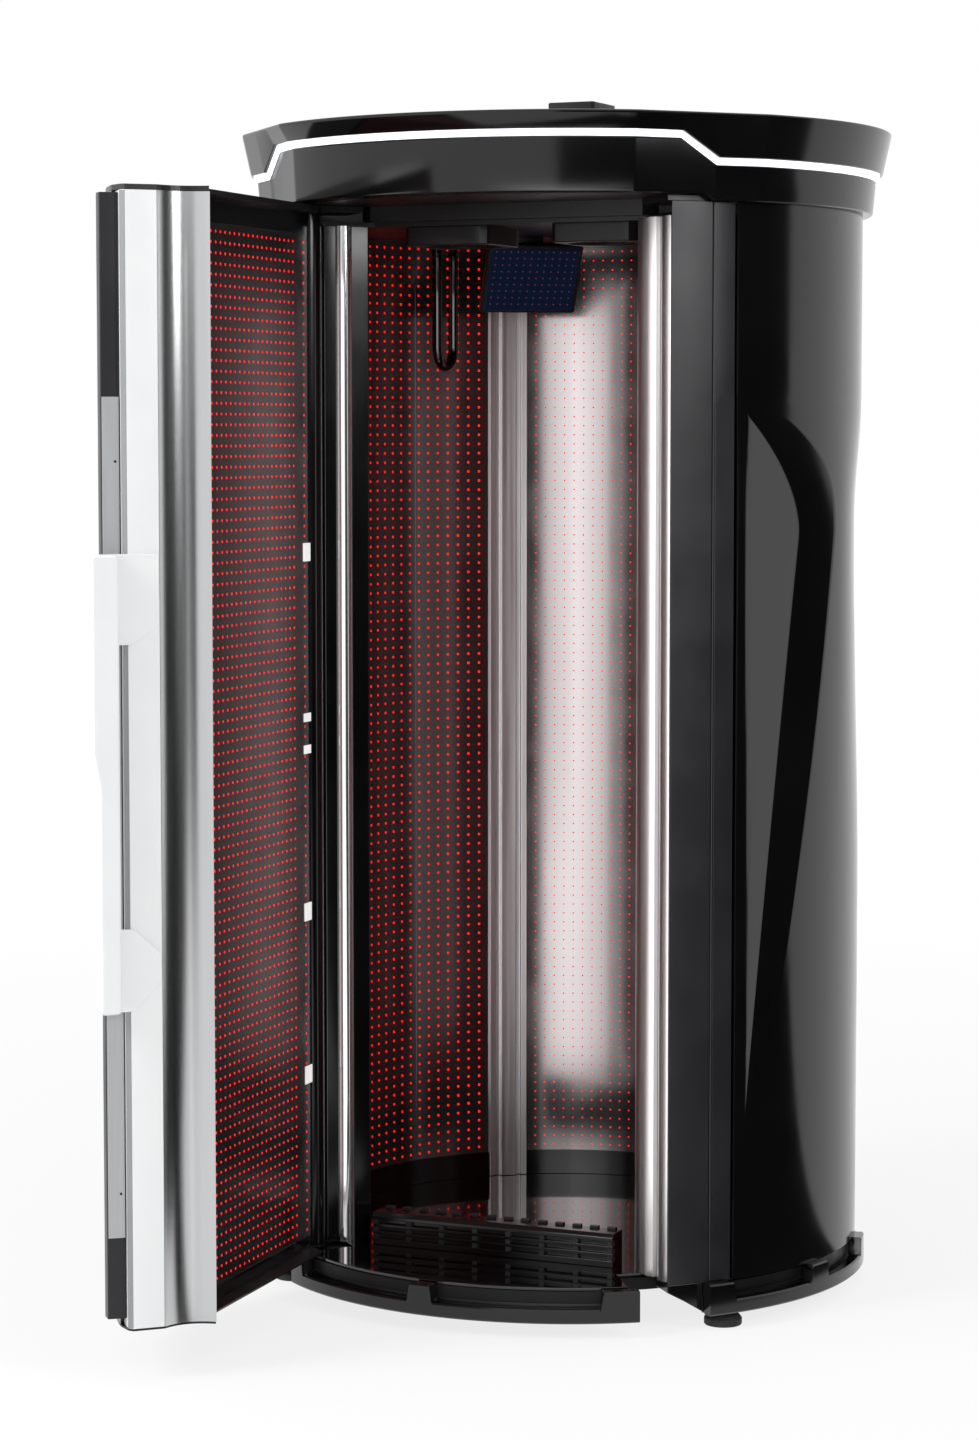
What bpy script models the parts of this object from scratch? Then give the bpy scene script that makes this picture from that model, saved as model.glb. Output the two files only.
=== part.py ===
"""Stand-up red light therapy cabin with a hinged door, shown with the door standing open.

Metres, +Z up, front towards -Y. Angles in plan are measured from the front, positive towards +X.
"""

import bmesh
import bpy
from math import cos, pi, radians, sin, sqrt

for old in list(bpy.data.objects):
    bpy.data.objects.remove(old, do_unlink=True)

# Driving dimensions
FIT = 0.0003                  # gap between pieces that touch
ROUND_FIT = 0.0008            # gap between curved pieces inside one another
R_BODY = 0.567                # outer radius of the skins
SKIN_T = 0.005
R_WALL = R_BODY - 0.107       # inner face of the light panels
PANEL_T = 0.004
BOARD_T = 0.004
R_BASE = R_BODY + 0.018       # outer radius of the base skirt
SKIRT_W = 0.025
Z_SKIRT = 0.030               # underside of the base skirt
Z_SILL = 0.056                # lower edge of the air windows in the skirt
Z_BASE = 0.088                # top of the base skirt
Z_PAN = 0.062                 # underside of the base pan
FLOOR_T = 0.0057
Z_FLOOR = 0.0905              # floor inside the cabin
Z_DOOR = 0.0955               # underside of the door leaf
DOOR_TOP = 2.041              # top of the door leaf
FOOT_CAP_T = 0.0037           # black end caps of the door
HEAD_CAP_T = 0.0095
Z_CEILING = DOOR_TOP - 0.021  # underside of the ceiling
CEILING_T = 0.008
Z_CAP = Z_CEILING + 0.0253    # underside of the roof cap at the sides
Z_HEAD = Z_CAP + 0.0112       # underside of the roof cap over the door
Z_RIM = Z_CAP + 0.1527        # top of the roof cap
LINE_SIDE = Z_RIM - 0.084     # height of the light line round the sides
LINE_FRONT = Z_RIM - 0.038    # height of the light line over the door
LINE_H = 0.012
R_RIM = R_BODY + 0.053        # top rim of the roof cap
R_RIM_LOW = R_RIM - 0.016
R_RING = R_RIM - 0.028        # lower ring of the roof cap, upper edge
R_RING_LOW = R_RING - 0.006
R_RING_IN = R_BODY - 0.0215
R_DECK = R_RIM - 0.040
JAMB = 42.0                   # plan angle of the door opening's edges
POST_BACK = 51.7              # plan angle where the door posts end
WALL_FROM = 52.0              # plan angle where the light panels begin
POST_FROM = 137.0             # plan angles of the rear posts
POST_TO = 147.0
SKIN_FROM = 56.0
SKIN_TO = 150.0
R_REVEAL = R_WALL - 0.055     # inner edge of the door posts
R_POST = R_REVEAL + 0.089     # outer face of the hinge post's step
R_HINGE = R_BODY - 0.0349     # the door's hinge axis in plan
HINGE_A = -42.81
R_NOSE = 0.030                # rounded hinge edge of the door
R_PIN = 0.006
PIN_FIT = 0.0005
DOOR_OPEN = 85.4              # door angle in the photograph
EDGE = 40.7                   # plan angle of the door's free end face, door closed
LEAF_Y = 0.087 - R_WALL       # inner face of the door, door closed
RAIL = 0.033                  # how far the end caps stand in from the door's inner face
FAN_XY = (R_WALL - 0.310, 0.310 - R_WALL)
FAN_SIDE = 0.170
FAN_DROP = 0.034
GRAB_XY = (R_WALL - 0.190, 0.030)
GRAB_LOW = Z_CEILING - 0.267
SCREEN_TILT = 30.0
SCREEN_TURN = 38.0
FOOT_R = 0.035
WAIST = 0.016                 # how far the skins draw in at hip height

cabin = bpy.data.collections.new("light_therapy_cabin")
cutters = bpy.data.collections.new("cutters")
bpy.context.scene.collection.children.link(cabin)
bpy.context.scene.collection.children.link(cutters)


def polar(radius, angle):
    """Plan point at a radius and an angle from the front."""
    return (radius * sin(radians(angle)), -radius * cos(radians(angle)))


def arc(radius, start, end, step=5.0):
    """Plan points along an arc about the cabin axis, between its ends at whole multiples of the step."""
    low, high = min(start, end), max(start, end)
    steps = range(round(low / step) - 1, round(high / step) + 2)
    angles = [low] + [step * i for i in steps if low + 0.8 < step * i < high - 0.8] + [high]
    if start > end:
        angles.reverse()
    return [polar(radius, angle) for angle in angles]


def circle(centre, radius, count=24):
    """Plan points of a full circle."""
    return [(centre[0] + radius * cos(2 * pi * i / count),
             centre[1] + radius * sin(2 * pi * i / count)) for i in range(count)]


def sector(inner, outer, start, end, step=5.0):
    """Plan outline of a piece of a ring."""
    return arc(outer, start, end, step) + arc(inner, end, start, step)


def mirrored(points):
    """Plan outline reflected from the right side to the left side."""
    return [(-x, y) for x, y in reversed(points)]


def paint(obj, colour, roughness, metallic=0.0, glow=0.0):
    """Gives an object its own Principled material."""
    mat = bpy.data.materials.new(obj.name)
    mat.use_nodes = True
    shader = mat.node_tree.nodes["Principled BSDF"]
    shader.inputs["Base Color"].default_value = (*colour, 1.0)
    shader.inputs["Roughness"].default_value = roughness
    shader.inputs["Metallic"].default_value = metallic
    if glow:
        shader.inputs["Emission Color"].default_value = (*colour, 1.0)
        shader.inputs["Emission Strength"].default_value = glow
    mat.diffuse_color = (*colour, 1.0)
    obj.data.materials.append(mat)
    return obj


def put(name, mesh, smooth=False):
    """Adds a mesh to the cabin as one named piece."""
    obj = bpy.data.objects.new(name, mesh)
    cabin.objects.link(obj)
    if smooth:
        for face in mesh.polygons:
            face.use_smooth = True
    return obj


def solid_of(loops, low, high):
    """Mesh of a plan outline, with its holes, between two heights."""
    curve = bpy.data.curves.new("outline", "CURVE")
    curve.dimensions = "2D"
    curve.fill_mode = "BOTH"
    curve.extrude = (high - low) / 2
    for loop in loops:
        spline = curve.splines.new("POLY")
        spline.points.add(len(loop) - 1)
        for point, (x, y) in zip(spline.points, loop):
            point.co = (x, y, 0.0, 1.0)
        spline.use_cyclic_u = True
    holder = bpy.data.objects.new("outline", curve)
    bpy.context.scene.collection.objects.link(holder)
    bpy.context.view_layer.update()
    mesh = bpy.data.meshes.new_from_object(holder.evaluated_get(bpy.context.evaluated_depsgraph_get()))
    bpy.data.objects.remove(holder, do_unlink=True)
    shape = bmesh.new()
    shape.from_mesh(mesh)
    bmesh.ops.remove_doubles(shape, verts=shape.verts, dist=1e-6)
    bmesh.ops.translate(shape, verts=shape.verts, vec=(0.0, 0.0, (high + low) / 2))
    bmesh.ops.recalc_face_normals(shape, faces=shape.faces)
    shape.to_mesh(mesh)
    shape.free()
    return mesh


def prism(name, loops, low, high):
    """Piece with a plan outline, standing between two heights."""
    return put(name, solid_of(loops if isinstance(loops[0], list) else [loops], low, high))


def box(name, size, centre):
    """Rectangular piece."""
    shape = bmesh.new()
    bmesh.ops.create_cube(shape, size=1.0)
    bmesh.ops.scale(shape, verts=shape.verts, vec=size)
    bmesh.ops.translate(shape, verts=shape.verts, vec=centre)
    mesh = bpy.data.meshes.new(name)
    shape.to_mesh(mesh)
    shape.free()
    return put(name, mesh)


def turned(name, profile, steps=24):
    """Piece turned about Z from a profile of radius and height that runs from the top to the bottom."""
    mesh = bpy.data.meshes.new(name)
    mesh.from_pydata([(r, 0.0, z) for r, z in profile], [(i, i + 1) for i in range(len(profile) - 1)], [])
    obj = put(name, mesh)
    screw = obj.modifiers.new("turn", "SCREW")
    screw.axis = "Z"
    screw.steps = steps
    screw.render_steps = steps
    screw.use_merge_vertices = True
    screw.merge_threshold = 0.00001
    screw.use_smooth_shade = True
    return obj


def tube(name, points, radius, sides=3):
    """Round bar along a path."""
    curve = bpy.data.curves.new(name, "CURVE")
    curve.dimensions = "3D"
    curve.bevel_depth = radius
    curve.bevel_resolution = sides
    curve.use_fill_caps = True
    spline = curve.splines.new("POLY")
    spline.points.add(len(points) - 1)
    for point, place in zip(spline.points, points):
        point.co = (*place, 1.0)
    obj = bpy.data.objects.new(name, curve)
    cabin.objects.link(obj)
    return obj


def cut(obj, mesh, how="DIFFERENCE"):
    """Cuts a piece with a hidden shape, or joins that shape to it."""
    tool = bpy.data.objects.new(obj.name + "_cutter", mesh)
    tool.hide_render = True
    tool.display_type = "WIRE"
    tool.parent = obj
    cutters.objects.link(tool)
    boolean = obj.modifiers.new("shape", "BOOLEAN")
    boolean.operation = how
    boolean.solver = "EXACT"
    boolean.object = tool


def joined(meshes):
    """One mesh of several separate ones, for use as a cutter."""
    shape = bmesh.new()
    for mesh in meshes:
        shape.from_mesh(mesh)
    result = bpy.data.meshes.new("cutter")
    shape.to_mesh(result)
    shape.free()
    return result


def soften(obj, width, segments=2):
    """Rounds the sharp edges of a piece."""
    bevel = obj.modifiers.new("edges", "BEVEL")
    bevel.width = width
    bevel.segments = segments
    bevel.limit_method = "ANGLE"
    bevel.angle_limit = radians(40)
    return obj


BLACK = (0.012, 0.012, 0.013)
GRAPHITE = (0.030, 0.030, 0.032)
WHITE = (0.86, 0.87, 0.87)
SILVER = (0.62, 0.62, 0.63)

HINGE = polar(R_HINGE, HINGE_A)
LEAF_LEFT = HINGE[0] + 0.0391
LEAF_RIGHT = polar(R_REVEAL, EDGE)[0] - 0.0181

# Base: pan, skirt, bumper, feet and floor
R_PAN = R_BASE - SKIRT_W - ROUND_FIT
GAP_LEFT = (-50.0, -46.0)
GAP_RIGHT = (35.5, 50.0)
R_GAP = R_WALL + 0.010
pan_edge = (arc(R_PAN, GAP_RIGHT[1], 360 + GAP_LEFT[0])
            + arc(R_GAP, GAP_LEFT[0], GAP_LEFT[1])
            + arc(R_PAN, GAP_LEFT[1], GAP_RIGHT[0])
            + arc(R_GAP, GAP_RIGHT[0], GAP_RIGHT[1]))
Z_PAN_TOP = Z_FLOOR - FLOOR_T - FIT
paint(prism("base_pan", pan_edge, Z_PAN, Z_PAN_TOP), GRAPHITE, 0.5, 0.4)


def skirt(name, start, end, windows):
    """Part of the base skirt with air windows open at its top edge."""
    ring = prism(name, sector(R_BASE - SKIRT_W, R_BASE, start, end), Z_SKIRT, Z_BASE)
    holes = [solid_of([sector(R_BASE - 2 * SKIRT_W, R_BASE + SKIRT_W, a, b)], Z_SILL, Z_BASE + SKIRT_W)
             for a, b in windows]
    cut(ring, joined(holes))
    return paint(ring, BLACK, 0.28)


RIB = 5.0
WINDOW = (360 + GAP_LEFT[0] - GAP_RIGHT[1] - RIB) / 10
skirt("base_skirt", GAP_RIGHT[1], 360 + GAP_LEFT[0],
      [(GAP_RIGHT[1] + RIB + WINDOW * i, GAP_RIGHT[1] + WINDOW * (i + 1)) for i in range(10)])
skirt("front_bumper", -39.0, 36.5, [(-35.0, -6.0), (-2.0, 30.0)])

FOOT_RING = R_BASE - 0.050
FOOT_AT = {
    "foot_front_left": (FOOT_RING, -56.0),
    "foot_front_right": (FOOT_RING, 56.0),
    "foot_rear_left": (FOOT_RING, -142.0),
    "foot_rear_right": (FOOT_RING, 142.0),
    "foot_centre": (0.0, 0.0),
}
STEM_R = 0.016
foot_side = [(0.0, Z_PAN - FIT), (STEM_R, Z_PAN - FIT), (STEM_R, 0.026), (FOOT_R - 0.006, 0.018),
             (FOOT_R, 0.012), (FOOT_R, 0.0), (0.0, 0.0)]
for foot_name, (radius, angle) in FOOT_AT.items():
    foot = turned(foot_name, foot_side, 20)
    foot.location = (*polar(radius, angle), 0.0)
    paint(foot, BLACK, 0.6)

R_FLOOR = R_WALL - 0.0015
R_STEP = R_PAN - 0.003
STEP_FROM = -37.5
STEP_TO = GAP_RIGHT[0] - 0.5
floor_edge = arc(R_FLOOR, STEP_TO, 360 + STEP_FROM) + arc(R_STEP, STEP_FROM, STEP_TO)
paint(prism("floor_plate", floor_edge, Z_FLOOR - FLOOR_T, Z_FLOOR), BLACK, 0.06)

# Door sill with its sloping front and air slots
SILL_LEFT = 0.149 - R_REVEAL
SILL_RIGHT = R_REVEAL - 0.167
SILL_FRONT = LEAF_Y + RAIL + 0.006
SILL_BACK = SILL_FRONT + 0.049
SILL_H = 0.0625
sill = box("door_sill", (SILL_RIGHT - SILL_LEFT, SILL_BACK - SILL_FRONT, SILL_H),
           ((SILL_LEFT + SILL_RIGHT) / 2, (SILL_FRONT + SILL_BACK) / 2, Z_FLOOR + FIT + SILL_H / 2))
slot_meshes = []
SLOT_PITCH = (SILL_RIGHT - SILL_LEFT - 0.09) / 5
SLOT_W = 0.74 * SLOT_PITCH
for i in range(6):
    slot_x = SILL_LEFT + 0.045 + i * SLOT_PITCH
    slot_left = slot_x - SLOT_W / 2
    slot_right = slot_x + SLOT_W / 2
    slot_edge = [(slot_left, SILL_FRONT - 0.01), (slot_right, SILL_FRONT - 0.01),
                 (slot_right, SILL_FRONT + 0.012), (slot_left, SILL_FRONT + 0.012)]
    slot_meshes.append(solid_of([slot_edge], Z_FLOOR + 0.022, Z_FLOOR + 0.040))
cut(sill, joined(slot_meshes))
paint(soften(sill, 0.004), BLACK, 0.22)

# Light panels with their boards behind, and the rear posts between them
Z_WALL = Z_FLOOR + FIT
WALL_TOP = Z_CEILING - FIT
STEP_A = 0.045                # angular gap beside a post


def wall(name, start, end):
    """A curved light panel and the board behind it."""
    panel = prism("led_panel_" + name, sector(R_WALL, R_WALL + PANEL_T, start, end), Z_WALL, WALL_TOP)
    paint(panel, (0.05, 0.012, 0.014), 0.05)
    back = R_WALL + PANEL_T + FIT
    board_edge = sector(back, back + BOARD_T, start, end)
    board = prism("led_board_" + name, board_edge, Z_WALL + 0.04, WALL_TOP - 0.01)
    paint(board, (0.02, 0.03, 0.02), 0.6)


wall("right", WALL_FROM, POST_FROM - STEP_A)
wall("back", POST_TO + STEP_A, 360 - POST_TO - STEP_A)
wall("left", -WALL_FROM, -POST_FROM + STEP_A)

R_RIB = R_WALL - 0.010
R_FLUTE = R_WALL - 0.002
R_POST_BACK = R_WALL + 0.040
post = (arc(R_POST_BACK, POST_FROM, POST_TO)
        + arc(R_RIB + 0.004, POST_TO, POST_TO - 1.6)
        + arc(R_FLUTE, POST_TO - 1.7, POST_TO - 2.9)
        + arc(R_RIB, POST_TO - 3.0, POST_FROM + 3.0, 2.0)
        + arc(R_FLUTE, POST_FROM + 2.9, POST_FROM + 1.7)
        + arc(R_RIB + 0.004, POST_FROM + 1.6, POST_FROM))
paint(prism("rear_post_right", post, Z_WALL, WALL_TOP), SILVER, 0.15, 1.0)
paint(prism("rear_post_left", mirrored(post), Z_WALL, WALL_TOP), SILVER, 0.15, 1.0)

# Door posts, polished reveal profiles and jamb covers
R_LATCH = R_BODY - 0.021
latch_post = [polar(R_REVEAL, JAMB + 1.5), polar(R_LATCH, JAMB + 1.5), polar(R_LATCH, POST_BACK),
              polar(R_REVEAL, POST_BACK)]
paint(prism("latch_post", latch_post, Z_WALL, WALL_TOP), BLACK, 0.3)
hinge_post = [polar(R_REVEAL, -POST_BACK), polar(R_LATCH, -POST_BACK), polar(R_LATCH, -47.8),
              polar(R_POST, -45.2), polar(R_POST, -JAMB - 1.6), polar(R_REVEAL, -JAMB - 1.6)]
paint(prism("hinge_post", hinge_post, Z_WALL, WALL_TOP), BLACK, 0.3)


def swelled(start, end, swell, count=10):
    """Points along a chord that bulges to its right by a given height."""
    points = []
    span = (end[0] - start[0], end[1] - start[1])
    length = sqrt(span[0] ** 2 + span[1] ** 2)
    for i in range(count + 1):
        along = i / count
        out = swell * 4 * along * (1 - along) / length
        points.append((start[0] + span[0] * along + span[1] * out,
                       start[1] + span[1] * along - span[0] * out))
    return points


COLUMN_OUT = R_REVEAL + 0.0905
BACK_A = JAMB + 1.5 - 0.04
column = swelled(polar(R_REVEAL + 0.002, JAMB), polar(COLUMN_OUT, JAMB), 0.014) + [
    polar(COLUMN_OUT, BACK_A), polar(R_REVEAL + 0.002, BACK_A)]
paint(prism("latch_column", column, Z_WALL, WALL_TOP), SILVER, 0.12, 1.0)
left_a = -JAMB - 1.6 + 0.04
LEFT_OUT = R_WALL + 0.010
LEFT_IN = R_WALL - 0.020
left_face = swelled(polar(LEFT_OUT, left_a + 0.5), polar(LEFT_IN, left_a + 0.5), 0.007, 6)
left_column = left_face + [polar(LEFT_IN, left_a), polar(LEFT_OUT, left_a)]
paint(prism("hinge_column", left_column, Z_WALL, WALL_TOP), SILVER, 0.12, 1.0)

COVER_TOP = Z_CAP - FIT - 0.0003
R_COVER = R_BODY - 0.011
cover_in = [polar(R_LATCH + FIT, JAMB + 1.5), polar(R_COVER, JAMB + 0.6), polar(R_COVER + 0.003, 51.0),
            polar(R_LATCH + FIT, 51.0)]
paint(soften(prism("right_cover_inner", cover_in, Z_BASE + FIT, COVER_TOP), 0.0012), GRAPHITE, 0.25)
cover_out = [polar(R_LATCH - 0.012, POST_BACK + 0.1), polar(R_LATCH + 0.001, POST_BACK + 0.1),
             polar(R_LATCH + 0.001, 51.15), polar(R_COVER + 0.002, 51.15),
             polar(R_COVER + 0.003, SKIN_FROM - 0.1), polar(R_LATCH - 0.012, SKIN_FROM - 0.1)]
paint(soften(prism("right_cover_outer", cover_out, Z_BASE + FIT, COVER_TOP), 0.0012), GRAPHITE, 0.25)
cover_left = [polar(R_LATCH + FIT, -51.0), polar(R_COVER + 0.003, -51.0), polar(R_COVER + 0.001, -47.7),
              polar(R_LATCH + FIT, -47.9)]
paint(soften(prism("left_cover_inner", cover_left, Z_BASE + FIT, COVER_TOP), 0.0012), GRAPHITE, 0.25)
left_out = prism("left_cover_outer", mirrored(cover_out), Z_BASE + FIT, COVER_TOP)
paint(soften(left_out, 0.0012), GRAPHITE, 0.25)

# Outer skins: drawn in at hip height, with a flat pressed field and a ramp behind it
Z_SKIN = Z_BASE + FIT + 0.0002
SKIN_TOP = Z_CAP - FIT
HIP = 1.47                    # height of the narrowest place
HIP_TOP = 1.70
HIP_LOW = 0.24
FIELD_FROM = 57.4             # plan angle of the pressed field's front edge, flush with the skin
FIELD = 18.0                  # widest angle of the flat of the field
FIELD_HIP = 1.45              # height of the field's widest place
FIELD_TOP = 1.67
FIELD_LOW = 0.30
BAND = 8.8                    # widest angle of the ramp behind the flat
BAND_TOP = 1.70
BAND_LOW = 1.0                # angle of the ramp at the foot of the field
FACE_A = 75.0                 # plan direction that the flat of the field faces
SWELL = 0.003                 # how far the skins stand out beside the waist


def eased(t):
    """Smooth step from 0 to 1."""
    t = min(1.0, max(0.0, t))
    return t * t * (3 - 2 * t)


def share(z, low, high):
    """How far a height lies between two others, from 0 to 1."""
    return min(1.0, max(0.0, (z - low) / (high - low)))


def flat_edge(z):
    """Plan angle of the rear edge of the field's flat at a height."""
    if z > FIELD_HIP:
        return FIELD_FROM + FIELD * (1 - share(z, FIELD_HIP, FIELD_TOP) ** 1.8)
    return FIELD_FROM + FIELD * share(z, FIELD_LOW, FIELD_HIP) ** 1.1


def band_edge(z):
    """Plan angle of the rear edge of the ramp at a height."""
    if z > FIELD_HIP:
        return FIELD_FROM + (FIELD + BAND) * (1 - share(z, FIELD_HIP, BAND_TOP) ** 2.7)
    rise = 1 - (1 - share(z, FIELD_LOW, FIELD_HIP)) ** 2.2
    return flat_edge(z) + BAND_LOW + (BAND - BAND_LOW) * rise


def body_radius(angle, z):
    """Outer radius of the skins without the pressed field."""
    rise = (HIP_TOP - z) / (HIP_TOP - HIP) if z > HIP else (z - HIP_LOW - 0.5) / (HIP - HIP_LOW - 0.5)
    return R_BODY + SWELL - WAIST * eased(rise) * eased((angle - 86) / 24) - SWELL * eased(1 - rise)


def flat_radius(angle, z):
    """Outer radius on the flat of the pressed field, never outside the skin."""
    plane = (R_BODY + SWELL) * cos(radians(FACE_A - FIELD_FROM)) / cos(radians(angle - FACE_A))
    return min(plane, body_radius(angle, z))


def skin_radius(angle, z):
    """Outer radius of the skins at a plan angle and height."""
    flat = flat_edge(z)
    band = band_edge(z)
    if angle <= FIELD_FROM or angle >= band:
        return body_radius(angle, z)
    if angle <= flat:
        return flat_radius(angle, z)
    foot = flat_radius(flat, z)
    return foot + (body_radius(angle, z) - foot) * (angle - flat) / (band - flat)


SKIN_ROWS = [Z_SKIN, 0.16, 0.24, FIELD_LOW, 0.40, 0.52, 0.66, 0.82, 0.98, 1.14, 1.28, 1.38,
             FIELD_HIP, 1.50, 1.54, 1.57, 1.60, 1.635, FIELD_TOP, BAND_TOP, 1.76, 1.88, SKIN_TOP]


def skin(name, angles_at, side):
    """Shell of the given columns of angles at each height, thickened inwards."""
    columns = len(angles_at(Z_SKIN))
    shape = bmesh.new()
    bmesh.ops.create_grid(shape, x_segments=columns - 1, y_segments=len(SKIN_ROWS) - 1, size=0.5)
    for vert in shape.verts:
        column = round((vert.co.x + 0.5) * (columns - 1))
        z = SKIN_ROWS[round((vert.co.y + 0.5) * (len(SKIN_ROWS) - 1))]
        angle = angles_at(z)[column]
        x, y = polar(skin_radius(abs(angle) if angle <= 180 else 360 - angle, z), angle)
        vert.co = (side * x, y, z)
    if side < 0:
        bmesh.ops.reverse_faces(shape, faces=shape.faces)
    mesh = bpy.data.meshes.new(name)
    shape.to_mesh(mesh)
    shape.free()
    obj = put(name, mesh, smooth=True)
    shell = obj.modifiers.new("thickness", "SOLIDIFY")
    shell.thickness = SKIN_T
    shell.offset = -1.0
    return paint(obj, BLACK, 0.12)


def side_angles(z):
    """Columns that follow the pressed field's edges."""
    flat = max(flat_edge(z), FIELD_FROM + 1.0)
    band = max(band_edge(z), flat + 2.0)
    return ([SKIN_FROM, (SKIN_FROM + FIELD_FROM) / 2, FIELD_FROM]
            + [FIELD_FROM + (flat - FIELD_FROM) * i / 3 for i in range(1, 4)]
            + [flat + (band - flat) * i / 3 for i in range(1, 4)]
            + [band + (SKIN_TO - band) * i / 10 for i in range(1, 11)])


def rear_angles(z):
    """Even columns across the rear cover."""
    start = SKIN_TO + 0.09
    return [start + (360 - 2 * start) * i / 10 for i in range(11)]


skin("skin_right", side_angles, 1)
skin("skin_left", side_angles, -1)
skin("rear_cover", rear_angles, 1)

# Ceiling with air openings, and the lintel over the door
FRONT = R_REVEAL - 0.130
FRONT_A = 45.0
R_CEIL = R_RING_IN - 0.0025
ceiling_edge = (arc(R_CEIL, 58.0, 360 - 58.0)
                + arc(R_POST - 0.002, -58.0, -FRONT_A)
                + [(-FRONT, -FRONT), (FRONT, -FRONT)]
                + arc(R_POST - 0.002, FRONT_A, 58.0))
FAN_R = 0.074
ceiling_holes = []
for fan_side in (-1, 1):
    for quarter in range(4):
        centre = (fan_side * FAN_XY[0], FAN_XY[1])
        spread = [radians(90 * quarter + 12 + 66 * i / 5) for i in range(6)]
        outer = [(centre[0] + (FAN_R - 0.006) * cos(t), centre[1] + (FAN_R - 0.006) * sin(t)) for t in spread]
        inner = [(centre[0] + 0.026 * cos(t), centre[1] + 0.026 * sin(t)) for t in reversed(spread)]
        ceiling_holes.append(outer + inner)
paint(prism("ceiling_panel", [ceiling_edge] + ceiling_holes, Z_CEILING, Z_CEILING + CEILING_T), BLACK, 0.2)
LINTEL_BACK = -FRONT - 0.001
LINTEL_HALF = FRONT + 0.025
R_LINTEL = R_REVEAL - 0.005
lintel_edge = arc(R_RING_IN - ROUND_FIT, -57.0, 57.0) + [
    polar(R_LINTEL, 57.0), (LINTEL_HALF, LINTEL_BACK), (-LINTEL_HALF, LINTEL_BACK), polar(R_LINTEL, -57.0)]
lintel = prism("front_lintel", lintel_edge, Z_HEAD, Z_HEAD + 0.008)
drop_edge = [(-FRONT, LINTEL_BACK - 0.019), (FRONT, LINTEL_BACK - 0.019),
             (LINTEL_HALF, LINTEL_BACK), (-LINTEL_HALF, LINTEL_BACK)]
cut(lintel, solid_of([drop_edge], Z_CEILING + CEILING_T + FIT, Z_HEAD + 0.004), "UNION")
paint(lintel, BLACK, 0.25)

# Roof cap: two rings with a stepped light line between them, flat facets at the front corners
FACET = (35.0, 59.0)
KINK = (43.5, 50.5)
RAMP = [KINK[0] + (KINK[1] - KINK[0]) * i / 4 for i in range(5)]
even = [5.0 * i for i in range(72)]
even = [a for a in even if not KINK[0] < min(a, 360 - a) < KINK[1] + 1 and min(a, 360 - a) != 60.0]
cap_angles = sorted(set(even + [a for k in list(FACET) + RAMP for a in (k, 360 - k)]))


def rim(radius, angle):
    """Radius of the cap's outline, a chord across each facet."""
    near = min(angle, 360 - angle)
    if FACET[0] < near < FACET[1]:
        middle = (FACET[0] + FACET[1]) / 2
        return radius * cos(radians(middle - FACET[0])) / cos(radians(near - middle))
    return radius


def line_height(angle):
    """Height of the light line: raised over the door, lower round the sides."""
    near = min(angle, 360 - angle)
    share = min(1.0, max(0.0, (near - KINK[0]) / (KINK[1] - KINK[0])))
    return LINE_FRONT + (LINE_SIDE - LINE_FRONT) * share


def head_height(angle):
    """Height of the cap's underside: raised over the door, lower round the sides."""
    near = min(angle, 360 - angle)
    share = min(1.0, max(0.0, (near - RAMP[3]) / (RAMP[4] - RAMP[3])))
    return Z_HEAD + (Z_CAP - Z_HEAD) * share


def cap_ring(name, loops):
    """Closed ring lofted through loops, each a radius and a height that may follow the light line."""
    shape = bmesh.new()
    rows = []
    for radius, faceted, height in loops:
        row = []
        for angle in cap_angles:
            x, y = polar(rim(radius, angle) if faceted else radius, angle)
            row.append(shape.verts.new((x, y, height(angle))))
        rows.append(row)
    count = len(cap_angles)
    for k in range(len(rows)):
        below = rows[k]
        above = rows[(k + 1) % len(rows)]
        for i in range(count):
            j = (i + 1) % count
            shape.faces.new((below[i], below[j], above[j], above[i]))
    bmesh.ops.recalc_face_normals(shape, faces=shape.faces)
    mesh = bpy.data.meshes.new(name)
    shape.to_mesh(mesh)
    shape.free()
    return put(name, mesh)


def level(z):
    """A height that is the same all round."""
    return lambda angle: z


def along_line(offset):
    """A height that follows the light line."""
    return lambda angle: line_height(angle) + offset


def along_head(offset):
    """A height that follows the cap's underside."""
    return lambda angle: head_height(angle) + offset


HALF = LINE_H / 2
lower_loops = [(R_RING_LOW - 0.004, True, along_head(0.0)), (R_RING_LOW, True, along_head(0.006)),
               (R_RING, True, along_line(-HALF)), (R_RING_IN, False, along_line(-HALF)),
               (R_RING_IN, False, along_head(0.0))]
paint(cap_ring("cap_lower_ring", lower_loops), BLACK, 0.14)
strip_low = along_line(-HALF + ROUND_FIT)
strip_high = along_line(HALF - ROUND_FIT)
strip_loops = [(R_RING + 0.006, True, strip_low), (R_RING + 0.006, True, strip_high),
               (R_DECK - 0.012, True, strip_high), (R_DECK - 0.012, True, strip_low)]
paint(cap_ring("cap_light_strip", strip_loops), (0.95, 0.96, 1.0), 0.4, 0.0, 3.0)
upper_loops = [(R_RIM_LOW, True, along_line(HALF)), (R_RIM, True, level(Z_RIM - 0.003)),
               (R_RIM - 0.003, True, level(Z_RIM)), (R_DECK, False, level(Z_RIM)),
               (R_DECK, False, along_line(HALF))]
paint(cap_ring("cap_upper_ring", upper_loops), BLACK, 0.14)
DECK_Z = Z_RIM - 0.026
paint(prism("roof_deck", arc(R_DECK - ROUND_FIT, 0.0, 355.0), DECK_Z, DECK_Z + 0.008), BLACK, 0.4)
ROOF_BOX = (0.095, 0.110, 0.080)
ROOF_BOX_AT = (0.032, 0.0)
box_low = DECK_Z + 0.008 + FIT
roof_box = box("roof_box", ROOF_BOX, (*ROOF_BOX_AT, box_low + ROOF_BOX[2] / 2))
paint(soften(roof_box, 0.003), BLACK, 0.4)
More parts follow.
